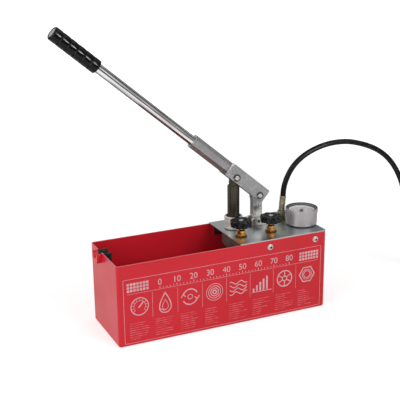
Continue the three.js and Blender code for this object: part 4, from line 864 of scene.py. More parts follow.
def ring_tree():
    """Marks or ribs round a circle, some of them longer."""
    tree = Tree("Marks round a circle", Int=("Count", "Long every"), Vector=("Centre",),
                Float=("Radius", "Start", "Step", "Length", "Width", "Thickness", "Long share"))
    points, index = tree.line(tree["Count"])
    angle = tree["Start"] + tree["Step"] * index
    is_long, stretch = tree.longer(index)
    reach = tree["Radius"] - tree["Length"] * stretch * 0.5
    x, y, z = tree.parts(tree["Centre"])
    place = tree.vector(x + reach * angle.done("COSINE"), y + reach * angle.done("SINE"), z)
    return tree.bars(points, place, (tree["Length"], tree["Width"], tree["Thickness"]),
                     tree.vector(0, 0, angle), tree.vector(stretch, 1 + is_long * 0.5, 1))


def scale_tree():
    """Marks along a straight scale that stands in the plane of the tank's front."""
    tree = Tree("Marks along a scale", Int=("Count", "Long every"), Vector=("Start",),
                Float=("Step", "Length", "Width", "Thickness", "Long share"))
    points, index = tree.line(tree["Count"])
    stretch = tree.longer(index)[1]
    x, y, z = tree.parts(tree["Start"])
    place = tree.vector(x + tree["Step"] * index, y, z + tree["Length"] * stretch * 0.5)
    return tree.bars(points, place, (tree["Width"], tree["Thickness"], tree["Length"]),
                     None, tree.vector(1, 1, stretch))


def caption_tree():
    """Short bars in columns, as lines of small print; each bar's length is drawn from a fixed seed."""
    tree = Tree("Lines of small print", Int=("Columns", "Lines", "Seed"), Vector=("Corner",),
                Float=("Column step", "Line step", "Longest", "Height", "Thickness"))
    lines = tree["Lines"]
    points, index = tree.line(tree["Columns"] * lines)
    column, row = (index / lines).done("FLOOR"), index % lines
    draw = tree.node("FunctionNodeRandomValue", {"data_type": "FLOAT"}, {
        2: 0.42, 3: 1.0, "ID": index, "Seed": tree["Seed"]}, 1)
    reach = tree["Longest"] * draw
    x, y, z = tree.parts(tree["Corner"])
    place = tree.vector(x + tree["Column step"] * column + reach * 0.5, y, z - tree["Line step"] * row)
    return tree.bars(points, place, (1, tree["Thickness"], tree["Height"]), None, tree.vector(reach, 1, 1))


def tile_tree():
    """A plain field of square tiles that stands in the plane of the tank's front."""
    tree = Tree("Field of tiles", Int=("Across", "Rows"), Vector=("Corner",),
                Float=("Step", "Tile", "Thickness"))
    across, step = tree["Across"], tree["Step"]
    points, index = tree.line(across * tree["Rows"])
    x, y, z = tree.parts(tree["Corner"])
    place = tree.vector(x + step * (index % across), y, z + step * (index / across).done("FLOOR"))
    return tree.bars(points, place, (tree["Tile"], tree["Thickness"], tree["Tile"]))


def grown(name, tree_maker, finish, points=(), turns=(), **values):
    """An object made by a Geometry Nodes tree, as a plain mesh."""
    tree = tree_maker()
    made = thing(name, (list(points), []))
    if turns:
        turn = made.data.attributes.new("turn", "FLOAT_VECTOR", "POINT")
        for index, angles in enumerate(turns):
            turn.data[index].vector = angles
    modifier = made.modifiers.new("nodes", "NODES")
    modifier.node_group = tree.tree
    for label, value in {"Material": finished(finish), **values}.items():
        modifier[tree.keys[label.replace("_", " ")]] = value
    return cleaned(baked(made), 1e-7)


def in_metres(*lengths):
    return tuple(one * MM for one in lengths)


# Camera and hose

CAMERA_AXES = (
    Vector((0.90983, -0.41483, -0.01146)), Vector((0.13506, 0.26987, 0.95338)),
    Vector((-0.39239, -0.86896, 0.30156)))
CAMERA_PLACE = Vector((-0.8234, -1.7695, 0.8939))
FOCAL_PIXELS, PICTURE_PIXELS, SENSOR = 906, 400, 36


class PUMP_OT_camera(bpy.types.Operator):
    """Sets the camera at the photograph's viewing angle"""

    bl_idname = "test_pump.camera"
    bl_label = "Camera"

    def execute(self, context):
        data = bpy.data.cameras.new("camera")
        data.sensor_width, data.lens = SENSOR, SENSOR * FOCAL_PIXELS / PICTURE_PIXELS
        data.clip_start, data.clip_end = 0.05, 60
        camera = linked("camera", data)
        place = Matrix(CAMERA_AXES).transposed().to_4x4()
        place.translation = CAMERA_PLACE
        camera.matrix_world = place
        context.scene.camera = camera
        return {"FINISHED"}


HOSE_RADIUS, HOSE_SIDES, HOSE_LENGTH = 6.5, 24, 1.5
HOSE_ARCH = (
    (210.8, 278), (219, 298), (231, 316.4), (246.6, 331.4), (265.4, 343.6), (287, 353), (310.6, 359.8),
    (335.4, 363.6), (361, 364.2), (387, 361.8), (412.6, 355.8), (438.5, 347.2), (463.5, 336.2), (487, 321.8),
    (508, 303.8), (526, 282.4), (541, 258.4), (553, 232.4), (562, 205), (568.5, 177), (573, 148.5),
    (576, 120), (577.6, 97), (579.4, 76), (585.6, 55), (598.4, 37), (615.8, 24.8), (635.7, 20.6),
    (648.7, 20.6))
COIL_CENTRE, COIL_RADIUS, COIL_TURNS, COIL_STEPS, COIL_TAIL = (662.0, -41.5), 71.5, 1.5, 96, 40.0
COIL_TOP, COIL_FLOOR, COIL_LIFT = 20.6, 6.8, 5.5


def through(points, steps=6):
    """A centripetal Catmull-Rom line through points."""
    line = [Vector(point) for point in points]
    line = [line[0] * 2 - line[1], *line, line[-1] * 2 - line[-2]]
    result = []
    for a, b, c, d in zip(line, line[1:], line[2:], line[3:]):
        ta = (b - a).length ** 0.5
        tb = ta + (c - b).length ** 0.5
        td = tb + (d - c).length ** 0.5
        for step in range(steps):
            t = ta + (tb - ta) * step / steps
            ab, bc, cd = a.lerp(b, t / ta), b.lerp(c, (t - ta) / (tb - ta)), c.lerp(d, (t - tb) / (td - tb))
            abc, bcd = ab.lerp(bc, t / tb), bc.lerp(cd, (t - ta) / (td - ta))
            result.append(abc.lerp(bcd, (t - ta) / (tb - ta)))
    return [*result, line[-2]]


def coil_height(wound):
    """Height of the hose's centre after so many degrees of the coil."""

    def share(low, high, value=wound):
        part = min(max((value - low) / (high - low), 0), 1)
        return part * part * (3 - 2 * part)

    last_half = COIL_TURNS * 360 - 180
    if wound <= 180:
        return COIL_TOP + COIL_LIFT * share(135, 180)
    if wound < last_half:
        top = COIL_TOP + COIL_LIFT
        return top - (top - COIL_FLOOR) * share(230, 345)
    return COIL_FLOOR + COIL_LIFT * share(135, 180, wound - last_half)


def hose_route():
    """Out of the leaning ferrule, over in one arch, and a turn and a half on the floor."""
    mouth = [LEAN_FRAME @ Vector((0, 0, reach)) for reach in (51.9, 64.9)]
    arch = through([*mouth, *((x, PORT[1], z) for x, z in HOSE_ARCH)])
    coil = [Vector((*spoke(COIL_RADIUS, 90 - wound, COIL_CENTRE), coil_height(wound)))
            for wound in (COIL_TURNS * 360 * step / COIL_STEPS for step in range(COIL_STEPS + 1))]
    tail = [coil[-1] - Vector((COIL_TAIL * step / 4, 0, 0)) for step in range(1, 5)]
    return [*arch, *coil, *tail]


def map_hose(hose, route):
    """The hose's own map: the angle around it, and the metres along it."""
    layer = hose.data.uv_layers.new(name="hose_map")
    run = [0.0]
    for here, there in zip(route, route[1:]):
        run.append(run[-1] + (there - here).length * MM)
    for face in hose.data.polygons:
        corners = [hose.data.loops[index].vertex_index for index in face.loop_indices]
        places = [corner % HOSE_SIDES for corner in corners]
        wraps = max(places) - min(places) > 2 and len(corners) == 4
        for index, corner, around in zip(face.loop_indices, corners, places):
            around = HOSE_SIDES if wraps and around == 0 else around
            layer.data[index].uv = (around * TURN / HOSE_SIDES, run[corner // HOSE_SIDES])


def ferrule_rows(stem_foot, bands):
    """Crimped shell: two bands pressed in, and a rolled mouth."""
    rows = [(2.5, stem_foot), (5.7, stem_foot), (5.7, stem_foot + 1.6), (4.6, stem_foot + 1.6), (4.6, 15.6),
            (6.5, 15.6), (7.1, 15.9), (7.5, 16.6), (7.5, 18.6)]
    for low, high in bands:
        rows += [(7.45, low), (7.06, low + 0.9), (7.02, (low + high) / 2), (7.06, high - 0.9), (7.45, high)]
    return rows + [(7.5, 48.2), (7.5, 50.6), (7.1, 51.3), (6.5, 51.6), (2.5, 51.6)]


def hose_ferrule(name, stem_foot, place, node):
    """Ten flats are pressed into each band."""
    bands = ((19.4, 32.6), (34.4, 47.2))

    def pressed(angle, radius, height):
        in_band = radius > 6.9 and any(low < height < high for low, high in bands)
        return radius + 0.22 * math.cos(10 * angle) if in_band else radius

    return turned(name, ferrule_rows(stem_foot, bands), place, "crimped_steel", node, steps=120, form=pressed)


def hose_nut(name, across, low, high, inner, throat, lip, chamfer, place, node):
    rows = [(throat, high), (throat, high - lip), (inner, high - lip), (inner, low)]
    return turned(name, rows + hex_rows(across, low, high, chamfer, chamfer), place, "crimped_steel", node,
                  form=six_sided(across))


class PUMP_OT_hose(bpy.types.Operator):
    bl_idname = "test_pump.hose"
    bl_label = "Hose"

    def execute(self, context):
        route = hose_route()
        hose = thing("hose_tube", swept(route, HOSE_RADIUS, HOSE_SIDES))
        map_hose(hose, route)
        piece(hose, "hose_rubber", "hose", "hose_coil")
        end_ferrule = hose_ferrule("hose_far_ferrule", 10.4, END_FRAME, "hose_end_ferrule")
        twist = END_FRAME @ Matrix.Rotation(TURN / 12, 4, "Z")
        end_nut = hose_nut("hose_far_nut", 24, -6.7, 15.3, 9.4, 4.9, 3, 1.5, twist, "hose_end_nut")
        hose_ferrule("hose_near_ferrule", 10.0, LEAN_FRAME, "hose_ferrule")
        hose_nut("hose_near_nut", 19, 1.3, 15.3, 6.3, 4.9, 3, 1.3, LEAN_FRAME, "hose_swivel_nut")
        softened("hose_adapter", "hose_adapter_body", "crimped_steel", 0.25)
        metres = [tuple(point * MM) for point in route]
        return {"FINISHED"}


# Tank and its print


def screw_shape(washer, head, height, socket, depth, shank, reach):
    """A socket screw on +Z with its seat at 0; the washer is a radius and a thickness."""
    foot = washer[1] if washer else 0
    top = foot + height
    wide = socket / math.sqrt(3)
    rows = [(0, -reach), (shank, -reach), (shank, 0)]
    if washer:
        rows += [(washer[0] - 0.3, 0), (washer[0], 0.3), (washer[0], foot - 0.4), (washer[0] - 0.5, foot)]
    bottom = top - depth
    rows += [(head - 0.1, foot), (head, foot + 0.2), (head, top - 1.1), (head * 0.9, top - 0.4),
             (head * 0.72, top), (wide + 0.35, top), (wide, top - 0.3), (wide, bottom), (wide * 0.5, bottom),
             (0, bottom)]
    return lathe(rows, 72, six_sided(socket, bottom - 0.01, top - 0.2, wide + 0.01))


def fasteners(name, shape, shaded_recess, places, turns):
    """Screws on points; the socket in each head, a radius and a least height, is marked so that it can be
    painted dark: painted shade.
    """
    source = cleaned(thing("fastener", shape))
    layer = source.data.attributes.new("shaded_recess", "FLOAT", "POINT")
    for index, point in enumerate(source.data.vertices):
        inside = math.hypot(point.co.x / MM, point.co.y / MM) < shaded_recess[0] and point.co.z / MM > shaded_recess[1]
        layer.data[index].value = 1.0 if inside else 0.0
    made = grown(name, fastener_tree, "screw_zinc", places, turns, Fastener=source, Size=1.0)
    bpy.data.objects.remove(source)
    return made


def tank_rings(height):
    """Rings up the folded shell's outside, over its rim and down its inside."""
    sheet, bend, steps = 2.0, 5.0, 6
    edge, inner = length("sheet_edge"), bend - sheet

    def ring(inset, level):
        return rectangle_ring(TANK_SIZE[0] / 2 - inset, TANK_SIZE[1] / 2 - inset, 6 - inset, level)

    return ([ring(bend * sine, bend * cosine) for sine, cosine in quarter(steps)]
            + [ring(edge * cosine, height - edge * sine) for sine, cosine in quarter(3)]
            + [ring(sheet - edge * sine, height - edge * cosine) for sine, cosine in quarter(3)]
            + [ring(sheet + inner * cosine, sheet + inner * sine) for sine, cosine in quarter(steps)])


class PUMP_OT_tank(bpy.types.Operator):
    """Folds the tank, cuts the notch for the lever's rest and the screw holes"""

    bl_idname = "test_pump.tank"
    bl_label = "Tank"

    def execute(self, context):
        wall, reach, corner = -TANK_SIZE[0] / 2, 13.3, 3.3
        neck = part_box("handle_rest")[0].z / MM + 3.7
        notch = (arc((PUMP[1] - reach + corner, neck + corner), corner, 180, 270)
                 + arc((PUMP[1] + reach - corner, neck + corner), corner, 270, 360)
                 + [(PUMP[1] + reach, 230), (PUMP[1] - reach, 230)])
        cuts = [slab(notch, wall - 20, wall + 30, X_TO_Z)]
        for x in PLATE_SCREWS:
            cuts.append(bore(3.3, -100, 100, Matrix.Translation((x, 0, SCREW_HEIGHT)) @ Z_TO_MINUS_Y, 32))
        shaped("tank_shell", skin(tank_rings(TANK_SIZE[2])), "red_paint", "tank", cuts=cuts)
        for name, finish, low_x, high_x in (("rest_block", "black_plastic", wall - 40, wall + 0.3),
                                            ("rest_lip", "red_paint", wall + 0.3, wall + 60)):
            away = [(low_x, -60), (high_x, -60), (high_x, 110), (low_x, 110)]
            made = rounded_edges(cut(copied("handle_rest", name), slab(away, 120, 240, Matrix())), 0.6)
            piece(made, finish, "handle_rest", slot="black_plastic")
        return {"FINISHED"}


PRINT_FACE = -TANK_SIZE[1] / 2
CELL_STEP, CELLS, CELL_LEFT = 59.4, 8, -237.6
FIGURE_SCALE, FIGURE_HEIGHT = 0.95, 90
SCALE_LEFT, SCALE_STEP = -160, 8
INK_FOOT = 0.01


def ribbon(points, width, high, closed=False):
    """A flat line of print drawn in X and Z; high is how far it stands off the front face."""
    line = [Vector(point) for point in points]
    count = len(line)
    rings = []
    for index, here in enumerate(line):
        before = line[index - 1] if index or closed else here * 2 - line[1]
        after = line[(index + 1) % count] if index < count - 1 or closed else here * 2 - line[index - 1]
        first, second = (here - before).normalized(), (after - here).normalized()
        along = (first + second).normalized() if (first + second).length > 1e-6 else first
        square = Vector((-along.y, along.x)) * (width / 2 / max(along.dot(first), 0.5))
        a, b = here + square, here - square
        rings.append([(a.x, PRINT_FACE - INK_FOOT, a.y), (b.x, PRINT_FACE - INK_FOOT, b.y),
                      (b.x, PRINT_FACE - high, b.y), (a.x, PRINT_FACE - high, a.y)])
    points, faces = skin(rings)
    if closed:
        faces = faces[2:] + walls(len(points) - 4, 0, 4)
    return points, faces


def figures():
    """Plain figures of water and pressure: for each cell its lines, closed or not, and their widths."""

    def ring(radius, x=0.0, z=0.0, start=0, end=360, steps=40):
        return [(x + px, z + pz) for px, pz in arc((0, 0), radius, start, end, steps)]

    def loops(*sizes):
        return [(ring(radius)[:-1], True, width) for radius, width in sizes]

    def rays(inner, outer, width, first, step, count):
        return [([spoke(inner, angle), spoke(outer, angle)], False, width)
                for angle in (first + step * ray for ray in range(count))]

    def drop(size, x, z):
        return [(x + size * math.sin(t) * math.sin(t / 2) ** 1.3, z + size * 1.25 * math.cos(t))
                for t in (TURN * step / 36 for step in range(36))]

    bars = zip(range(-22, 23, 9), (8, 15, 22, 29, 35, 39))
    return [
        [*loops((21, 2.2)), (ring(14, 0, 0, -40, 220), False, 1.0), ([(-3, -3), (10, 11)], False, 2.6),
         *rays(15.5, 18.4, 1.3, -40, 26, 11)],
        [(drop(20, 0, -2), True, 2.2), (drop(10, 0, -7), True, 1.2),
         (ring(17, 0, -4, 215, 275, 14), False, 1.6)],
        [(ring(19, 0, 0, 25, 160), False, 2.6), (ring(19, 0, 0, 205, 340), False, 2.6),
         ([(-23, 1), (-18, 8), (-11, 2)], False, 2.2), ([(23, -1), (18, -8), (11, -2)], False, 2.2),
         *loops((6, 1.4))],
        loops((21, 1.2), (15.5, 1.6), (10, 2.0), (4.5, 2.6)),
        [([(x, 13 - 9 * row + 3.4 * math.sin(x / 4.2 + row)) for x in range(-23, 24, 2)], False, 1.9)
         for row in range(4)],
        [*(([(x, -19), (x, -19 + rise)], False, 4.2) for x, rise in bars),
         ([(-26, -21), (28, -21)], False, 1.5)],
        [*loops((20, 2.6), (6, 2.0)), *rays(7, 18.8, 2.2, 30, 60, 6)],
        [([spoke(21, 60 * side) for side in range(6)], True, 2.4), *loops((13, 1.3), (9, 2.0))],
    ]


def number(text, height, thickness, place):
    """A number as a mesh object, standing on its lower edge and centred, with its place in its mesh."""
    curve = bpy.data.curves.new("number", "FONT")
    curve.body, curve.size, curve.align_x, curve.align_y = text, height * 1.35, "CENTER", "BOTTOM_BASELINE"
    curve.extrude, curve.resolution_u = thickness / 2, 6
    drawn = linked("number", curve)
    mesh = evaluated_mesh(drawn)
    mesh.transform(Matrix.Scale(MM, 4) @ place @ Matrix.Translation((0, 0, thickness / 2)))
    bpy.data.objects.remove(drawn)
    return linked("number", mesh)


class PUMP_OT_front_print(bpy.types.Operator):
    """Prints a plain panel on the tank's front: frame, scale with numbers, figures and small print"""

    bl_idname = "test_pump.front_print"
    bl_label = "Front print"

    def execute(self, context):
        high, line = length("print_height"), length("line_width")
        shapes = [ribbon(rounded_outline(-244, 244, 7, 155.5, 3), line, high, True),
                  ribbon([(-236, 121.5), (236, 121.5)], line * 0.8, high * 0.95)]
        level = 0.0
        for cell, drawing in enumerate(figures()):
            left = CELL_LEFT + cell * CELL_STEP
            if cell:
                shapes.append(ribbon([(left, 60), (left, 118)], line * 0.7, high * 0.9))
            for points, closed, width in drawing:
                level += 0.0006
                placed = [(left + CELL_STEP / 2 + x * FIGURE_SCALE, FIGURE_HEIGHT + z * FIGURE_SCALE)
                          for x, z in points]
                shapes.append(ribbon(placed, width, high * 0.8 + level, closed))
        piece(cleaned(thing("front_print_lines", joined(*shapes))), "print_ink")

        deep, face = high * MM, PRINT_FACE * MM
        marks = grown("front_print_scale", scale_tree, "print_ink", Count=41, Step=SCALE_STEP * MM,
                      Length=3.0 * MM, Width=1.2 * MM, Thickness=deep * 0.9, Long_every=5, Long_share=1.8,
                      Start=(SCALE_LEFT * MM, face - deep * 0.5, 123.4 * MM))
        captions = grown("front_print_captions", caption_tree, "small_print", Columns=CELLS, Lines=8,
                         Column_step=CELL_STEP * MM, Line_step=5.2 * MM, Longest=47 * MM, Height=1.2 * MM,
                         Thickness=deep * 0.7, Seed=11,
                         Corner=((CELL_LEFT + 6) * MM, face - deep * 0.4, 52 * MM))
        numbers = []
        for step in range(9):
            place = Matrix.Translation((SCALE_LEFT + 5 * SCALE_STEP * step, PRINT_FACE - INK_FOOT, 132.0))
            numbers.append(number(str(step * 10), 14.5, high * 0.85, place @ Z_TO_MINUS_Y))
        piece(marks, "print_ink")
        piece(captions, "small_print")
        piece(merged("front_print_numbers", numbers), "print_ink")
        for name, left in (("left", -236), ("right", 187)):
            piece(grown(f"front_print_tiles_{name}", tile_tree, "print_ink", Across=7, Rows=3, Step=7.4 * MM,
                        Tile=5.4 * MM, Thickness=deep * 0.85,
                        Corner=((left + 2.7) * MM, face - deep * 0.45, 129 * MM)), "print_ink")
        return {"FINISHED"}


# Plate, pump and plumbing


class PUMP_OT_plate(bpy.types.Operator):
    """Finishes the top plate and sets its screws"""

    bl_idname = "test_pump.plate"
    bl_label = "Top plate"

    def execute(self, context):
        softened("top_plate", "plate_sheet", "plated_sheet", 0.3)
        spots = [(side, x) for side in (-1, 1) for x in PLATE_SCREWS]
        screws = fasteners("plate_screws", screw_shape((7, 1.4), 4.8, 3.4, 4.8, 2.0, 3, 12), (2.95, 2),
                           [(x, side * SCREW_SEAT, SCREW_HEIGHT) for side, x in spots],
                           [(-side * QUARTER, 0, 0) for side, x in spots])
        piece(screws, "screw_zinc", *(f"plate_screw_{side}_{end}" for side in ("front", "rear")
                                      for end in ("left", "right")))
        return {"FINISHED"}


class PUMP_OT_pump(bpy.types.Operator):
    """Turns the gland collar, wiper and plunger"""

    bl_idname = "test_pump.pump"
    bl_label = "Pump"

    def execute(self, context):
        axis, soft = Matrix.Translation((*PUMP, 0)), length("turned_edge")
        collar = [(18.3, ON_PLATE), (19.85, ON_PLATE), (21.25, 193), (21.25, 213.6), (20.75, 214),
                  (20.75, 215), (21.25, 215.4), (21.25, 220.8), (19.85, 222.2), (17.35, 222.2),
                  (17.35, 214.8), (14.3, 214.8), (14.3, 211.9), (18.3, 211.9)]
        turned("pump_collar", collar, axis, "satin_zinc", "gland_collar", soft=soft)
        wiper = [(14.3, 215.1), (17.05, 215.1), (17.05, 219.1), (16.2, 219.5), (15.9, 220.7), (14.3, 220.7)]
        turned("pump_wiper", wiper, axis, "rubber", "plunger_wiper", soft=0.25)
        rod = [(0, 141), (12.8, 141), (14, 142.2), (14, 294.8), (12.8, 296), (10.6, 296), (10.6, 326),
               (7.6, 329), (0, 329)]
        eye = bore(PIN_RADIUS, -30, 30, Matrix.Translation((*PUMP, PIN_HEIGHT)) @ Z_TO_MINUS_Y)
        turned("pump_plunger", rod, axis, "plunger_steel", "plunger", soft=soft, cuts=[eye])
        return {"FINISHED"}


class PUMP_OT_plumbing(bpy.types.Operator):
    """Finishes the castings, pipes and valves under the plate"""

    bl_idname = "test_pump.plumbing"
    bl_label = "Plumbing"

    def execute(self, context):
        for node, finish, edge in (
                ("manifold", "cast_iron", 0.8), ("pump_barrel", "cast_iron", 0.3),
                ("foot_valve_body", "brass", 0.3), ("suction_strainer", "brass", 0),
                ("non_return_body", "brass", 0.3)):
            softened(node, node + "_full", finish, edge)
        for node in ("suction_ball", "non_return_ball"):
            low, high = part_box(node)
            radius, steps = (high.z - low.z) / 2 / MM, 24
            arch = [(radius * math.sin(math.pi * step / steps), -radius * math.cos(math.pi * step / steps))
                    for step in range(1, steps)]
            turned(node + "_round", [(0, -radius), *arch, (0, radius)],
                   Matrix.Translation((low + high) / 2 / MM), "dark_steel", node, steps=48)
        for finish, node in (("rubber", "plunger_packing"), ("plunger_steel", "riser_pipe"),
                             ("dark_steel", "non_return_spring"), ("brass", "gauge_socket")):
            painted(finish, node)
        return {"FINISHED"}


# Valves and gauge


def knob_shape():
    """Star knob: eight lobes fade from the rim to the dish, and both faces are rounded over."""
    radius, valley, edge, foot, top = 25.0, 3.4, 3.2, 215.3, 230.8
    rows = [(2.3, 229.2), (2.3, 224.7), (4.7, 224.7), (4.7, 212.3), (9.5, 212.3), (10, 212.8), (10.3, 215),
            (11, foot), (16, foot)]
    rows += [(radius - edge * sine, foot + edge * cosine) for sine, cosine in quarter(6)]
    rows += [(radius - edge * cosine, top - edge * sine) for sine, cosine in quarter(6)]
    rows += [(18, top), (14.6, top), (14.1, top - 0.2), (13.9, top - 0.7), (13.8, 229.3), (13.4, 229.2),
             (8, 229.2)]

    def lobes(angle, reach, height):
        wave = (1 - math.cos(8 * angle)) / 2
        return reach - valley * wave ** 2 * min(max((reach - 14.5) / 8.5, 0), 1)

    return lathe(rows, 192, lobes)


class PUMP_OT_valves(bpy.types.Operator):
    """Makes both screw valves: body, gland nut, spindle, star knob and its screw"""

    bl_idname = "test_pump.valves"
    bl_label = "Screw valves"

    def execute(self, context):
        body = [(4.7, 200), (4.7, 167.6), (8, 167.6), (8, ON_PLATE), (13.3, ON_PLATE), (13.8, 192),
                (13.8, 192.6), (13.3, 193), (11.4, 193.1), *hex_rows(19, 193.1, 200, 0, 1.3)]
        gland = [(4.7, 208.7), (4.7, 200.3), *hex_rows(17, 200.3, 206.3, 0.8, 1.0), (8.1, 206.3),
                 (7.9, 206.6), (6.8, 208.3), (6.2, 208.7)]
        thread = [row for rise in (1.5 * turn for turn in range(12))
                  for row in ((4.4, 203.2 + rise), (4.4, 203.7 + rise), (3.9, 204.1 + rise))]
        stem = [(0, 169.6), (1.2, 169.6), (4.4, 175.6), (4.4, 203), *thread, (4.4, 221.6), (4.4, 224.2),
                (4.2, 224.4), (2.3, 224.4), (2.3, 215.4), (0, 215.4)]
        screw = [(0, 220.6), (2, 220.6), (2, 229.5), (4.7, 229.5), (5, 229.8), (5, 230.9), (4.4, 231.6),
                 (3.2, 232), (0, 232.1)]
        slot = slab([(-9, -0.6), (9, -0.6), (9, 0.6), (-9, 0.6)], 231, 236, Matrix.Rotation(0.6, 4, "Z"))
        for side, (x, y) in VALVES.items():
            place = Matrix.Translation((x, y, 0))
            turned(f"valve_body_hex_{side}", body, place, "brass", f"valve_body_{side}",
                   form=six_sided(19, 193.05))
            turned(f"valve_gland_nut_{side}", gland, place, "brass", f"valve_gland_{side}",
                   form=six_sided(17, 200, 206.35))
            turned(f"valve_stem_{side}", stem, place, "screw_zinc", f"valve_spindle_{side}", steps=64)
            knob = thing(f"valve_star_{side}", moved(knob_shape(), place))
            ribs = grown("knob_ribs", ring_tree, "black_plastic", Count=8, Radius=13.6 * MM, Start=TURN / 16,
                         Step=TURN / 8, Length=7.6 * MM, Width=length("knob_rib") * MM, Thickness=1.2 * MM,
                         Long_every=1000, Long_share=1.0, Centre=in_metres(x, y, 229.7))
            piece(merged(f"valve_star_{side}", [cleaned(knob), ribs]), "black_plastic", f"valve_knob_{side}")
            turned(f"valve_star_screw_{side}", screw, place, "screw_zinc", f"knob_screw_{side}",
                   soft=0.2, steps=64, cuts=[moved(slot, place)])
        return {"FINISHED"}


GAUGE_PIECES = (
    ("gauge_shell", "gauge_grey", "gauge_case", "gauge_grey",
     [(6.7, 192.7), (34.5, 192.7), (36.5, 194.4), (36.5, 225.5), (35, 225.5), (35, 194.2), (6.7, 194.2)]),
    ("gauge_rim", "gauge_grey", "gauge_bezel", "gauge_grey",
     [(36.8, 222.5), (38, 222.5), (38, 230.7), (37.4, 231.5), (36.3, 231.5), (36.3, 230.1), (36.8, 230.1)]),
    ("gauge_rim_lip", "rubber", "gauge_bezel", "gauge_grey",
     [(34.8, 230.1), (36.2, 230.1), (36.2, 231.3), (35.6, 231.3)]),
    ("gauge_face", "dial_white", "gauge_dial", "dial_white",
     [(1.5, 219.8), (34.4, 219.8), (34.4, 220.8), (1.5, 220.8)]),
    ("gauge_gasket", "rubber", "gauge_ring", "rubber",
     [(30.2, 226.3), (34.4, 226.3), (34.4, 227.5), (30.2, 227.5)]),
    ("gauge_reflector", "dial_white", "gauge_ring", "rubber",
     [(30.2, 221.1), (34.4, 221.1), (34.4, 226.2), (31.0, 226.2)]),
    ("gauge_window", "clear_lens", "gauge_lens", "clear_lens",
     [(0, 227.8), (36.2, 227.8), (36.2, 229.8), (0, 229.8)]))
DIAL_SWEEP, DIAL_MARKS, DIAL_TOP = 270, 60, 220.84


class PUMP_OT_gauge(bpy.types.Operator):
    """Makes the gauge: case, bezel, dial with its marks and numbers, window and pointer"""

    bl_idname = "test_pump.gauge"
    bl_label = "Gauge"

    def execute(self, context):
        place = Matrix.Translation((*GAUGE, 0))
        for name, finish, node, slot, profile in GAUGE_PIECES:
            turned(name, profile, place, finish, node, slot=slot, soft=0.3, steps=128)
        marks = grown("gauge_marks", ring_tree, "dial_ink", Count=DIAL_MARKS + 1, Radius=30.5 * MM,
                      Start=math.radians(-45), Step=math.radians(DIAL_SWEEP) / DIAL_MARKS,
                      Length=length("dial_mark") * MM, Width=0.35 * MM, Thickness=0.06 * MM, Long_every=10,
                      Long_share=2.3, Centre=in_metres(*GAUGE, DIAL_TOP))
        numbers = []
        for count in range(7):
            x, y = spoke(20.6, 225 - 45 * count, GAUGE)
            spot = Matrix.Translation((x, y - 2.1, DIAL_TOP - 0.03))
            numbers.append(number(str(count * 10), 4.2, 0.06, spot))
        piece(merged("gauge_print", [marks, *numbers]), "dial_ink")

        hand = [(-9, -1.3), (-5, -1.1), (27, -0.35), (27, 0.35), (-5, 1.1), (-9, 1.3)]
        hub = [(0, 221.95), (3.9, 221.95), (4.4, 222.3), (4.4, 225.6), (3.6, 226.8), (0, 226.8)]
        post = [(0, 215.3), (1.2, 215.3), (1.2, 222.1), (0, 222.1)]
        zero = place @ Matrix.Rotation(math.radians(-DIAL_SWEEP / 2), 4, "Z")
        shapes = joined(slab(hand, 221.9, 222.7, zero), moved(lathe(eased(hub, 0.3), 64), place),
                        moved(lathe(post, 24), place))
        shaped("gauge_hand", shapes, "dark_steel", "gauge_pointer")
        return {"FINISHED"}


# Link and lever


class PUMP_OT_linkage(bpy.types.Operator):
    """Makes the upright link with its slotted eye, its bracket, pin and screws"""

    bl_idname = "test_pump.linkage"
    bl_label = "Linkage"

    def execute(self, context):
        eye, half, eye_half, edge = 64.0, 11.75, 13.6, length("cut_edge")
        top = eye + 10.5
        outline = (arc((0, 0), 9.2, 180, 360, 20) + [(half, 14), (half, eye - 13), (eye_half, eye - 9)]
                   + arc((eye_half - 6, top - 6), 6, 0, 90) + arc((6 - eye_half, top - 6), 6, 90, 180)
                   + [(-eye_half, eye - 9), (-half, eye - 13), (-half, 14)])
        place = Matrix.Translation((LINK_X, PUMP[1], FOOT_PIN_HEIGHT)) @ Z_TO_MINUS_Y
        slot = slab(rounded_outline(-10.5, 10.5, eye - 6.6, eye + 6.6, 5), -20, 20, place)
        shaped("link_upright", slab(outline, -9, 9, place), "milled_steel", "link_bar",
               cuts=[slot, bore(3.8, -20, 20, place)], edge=edge * 1.4)
        softened("link_bracket", "link_foot_bracket", "milled_steel", edge)
        pin = [(0, -16.9), (3.1, -16.9), (3.5, -16.5), (3.5, 16.5), (3.1, 16.9), (0, 16.9)]
        turned("link_foot_axle", pin, place, "dark_steel", "link_foot_pin", steps=64)
        seats = [(LINK_X + away, PUMP[1], 196.9) for away in (-22, 22)]
        screws = fasteners("bracket_screws", screw_shape(None, 4.2, 3, 3, 1.6, 2.5, 12), (1.8, 1), seats,
                           [(0, 0, 0.3), (0, 0, 0.8)])
        piece(screws, "screw_zinc", "bracket_screw_left", "bracket_screw_right")
        return {"FINISHED"}


# Headed pin, with a broad front button and a groove for the clip; the clip is an open spring ring
PIN_ROWS = (
    (0, -21.8), (4.6, -21.8), (5.3, -21.1), (5.3, -19.8), (3.9, -19.8), (3.9, -18.1), (4.5, -18.1),
    (4.5, 18.1), (6.8, 18.1), (7, 18.4), (7, 20), (6.3, 20.5), (0, 20.5))
CLIP_TURN = 2.2

GRIP_LOW, GRIP_HIGH, GRIP_RADIUS, GRIP_BORE, BARRELS = -539.0, -419.0, 15.65, 10.95, 6
HOLDER_Y, HOLDER_Z, HOLDER_BEVEL = 12.5, 15.8, 8.7
STRAP_ENDS, STRAP_HALF, STRAP_FACES = (-29, 93.5), 16.5, (12.8, 17.8)


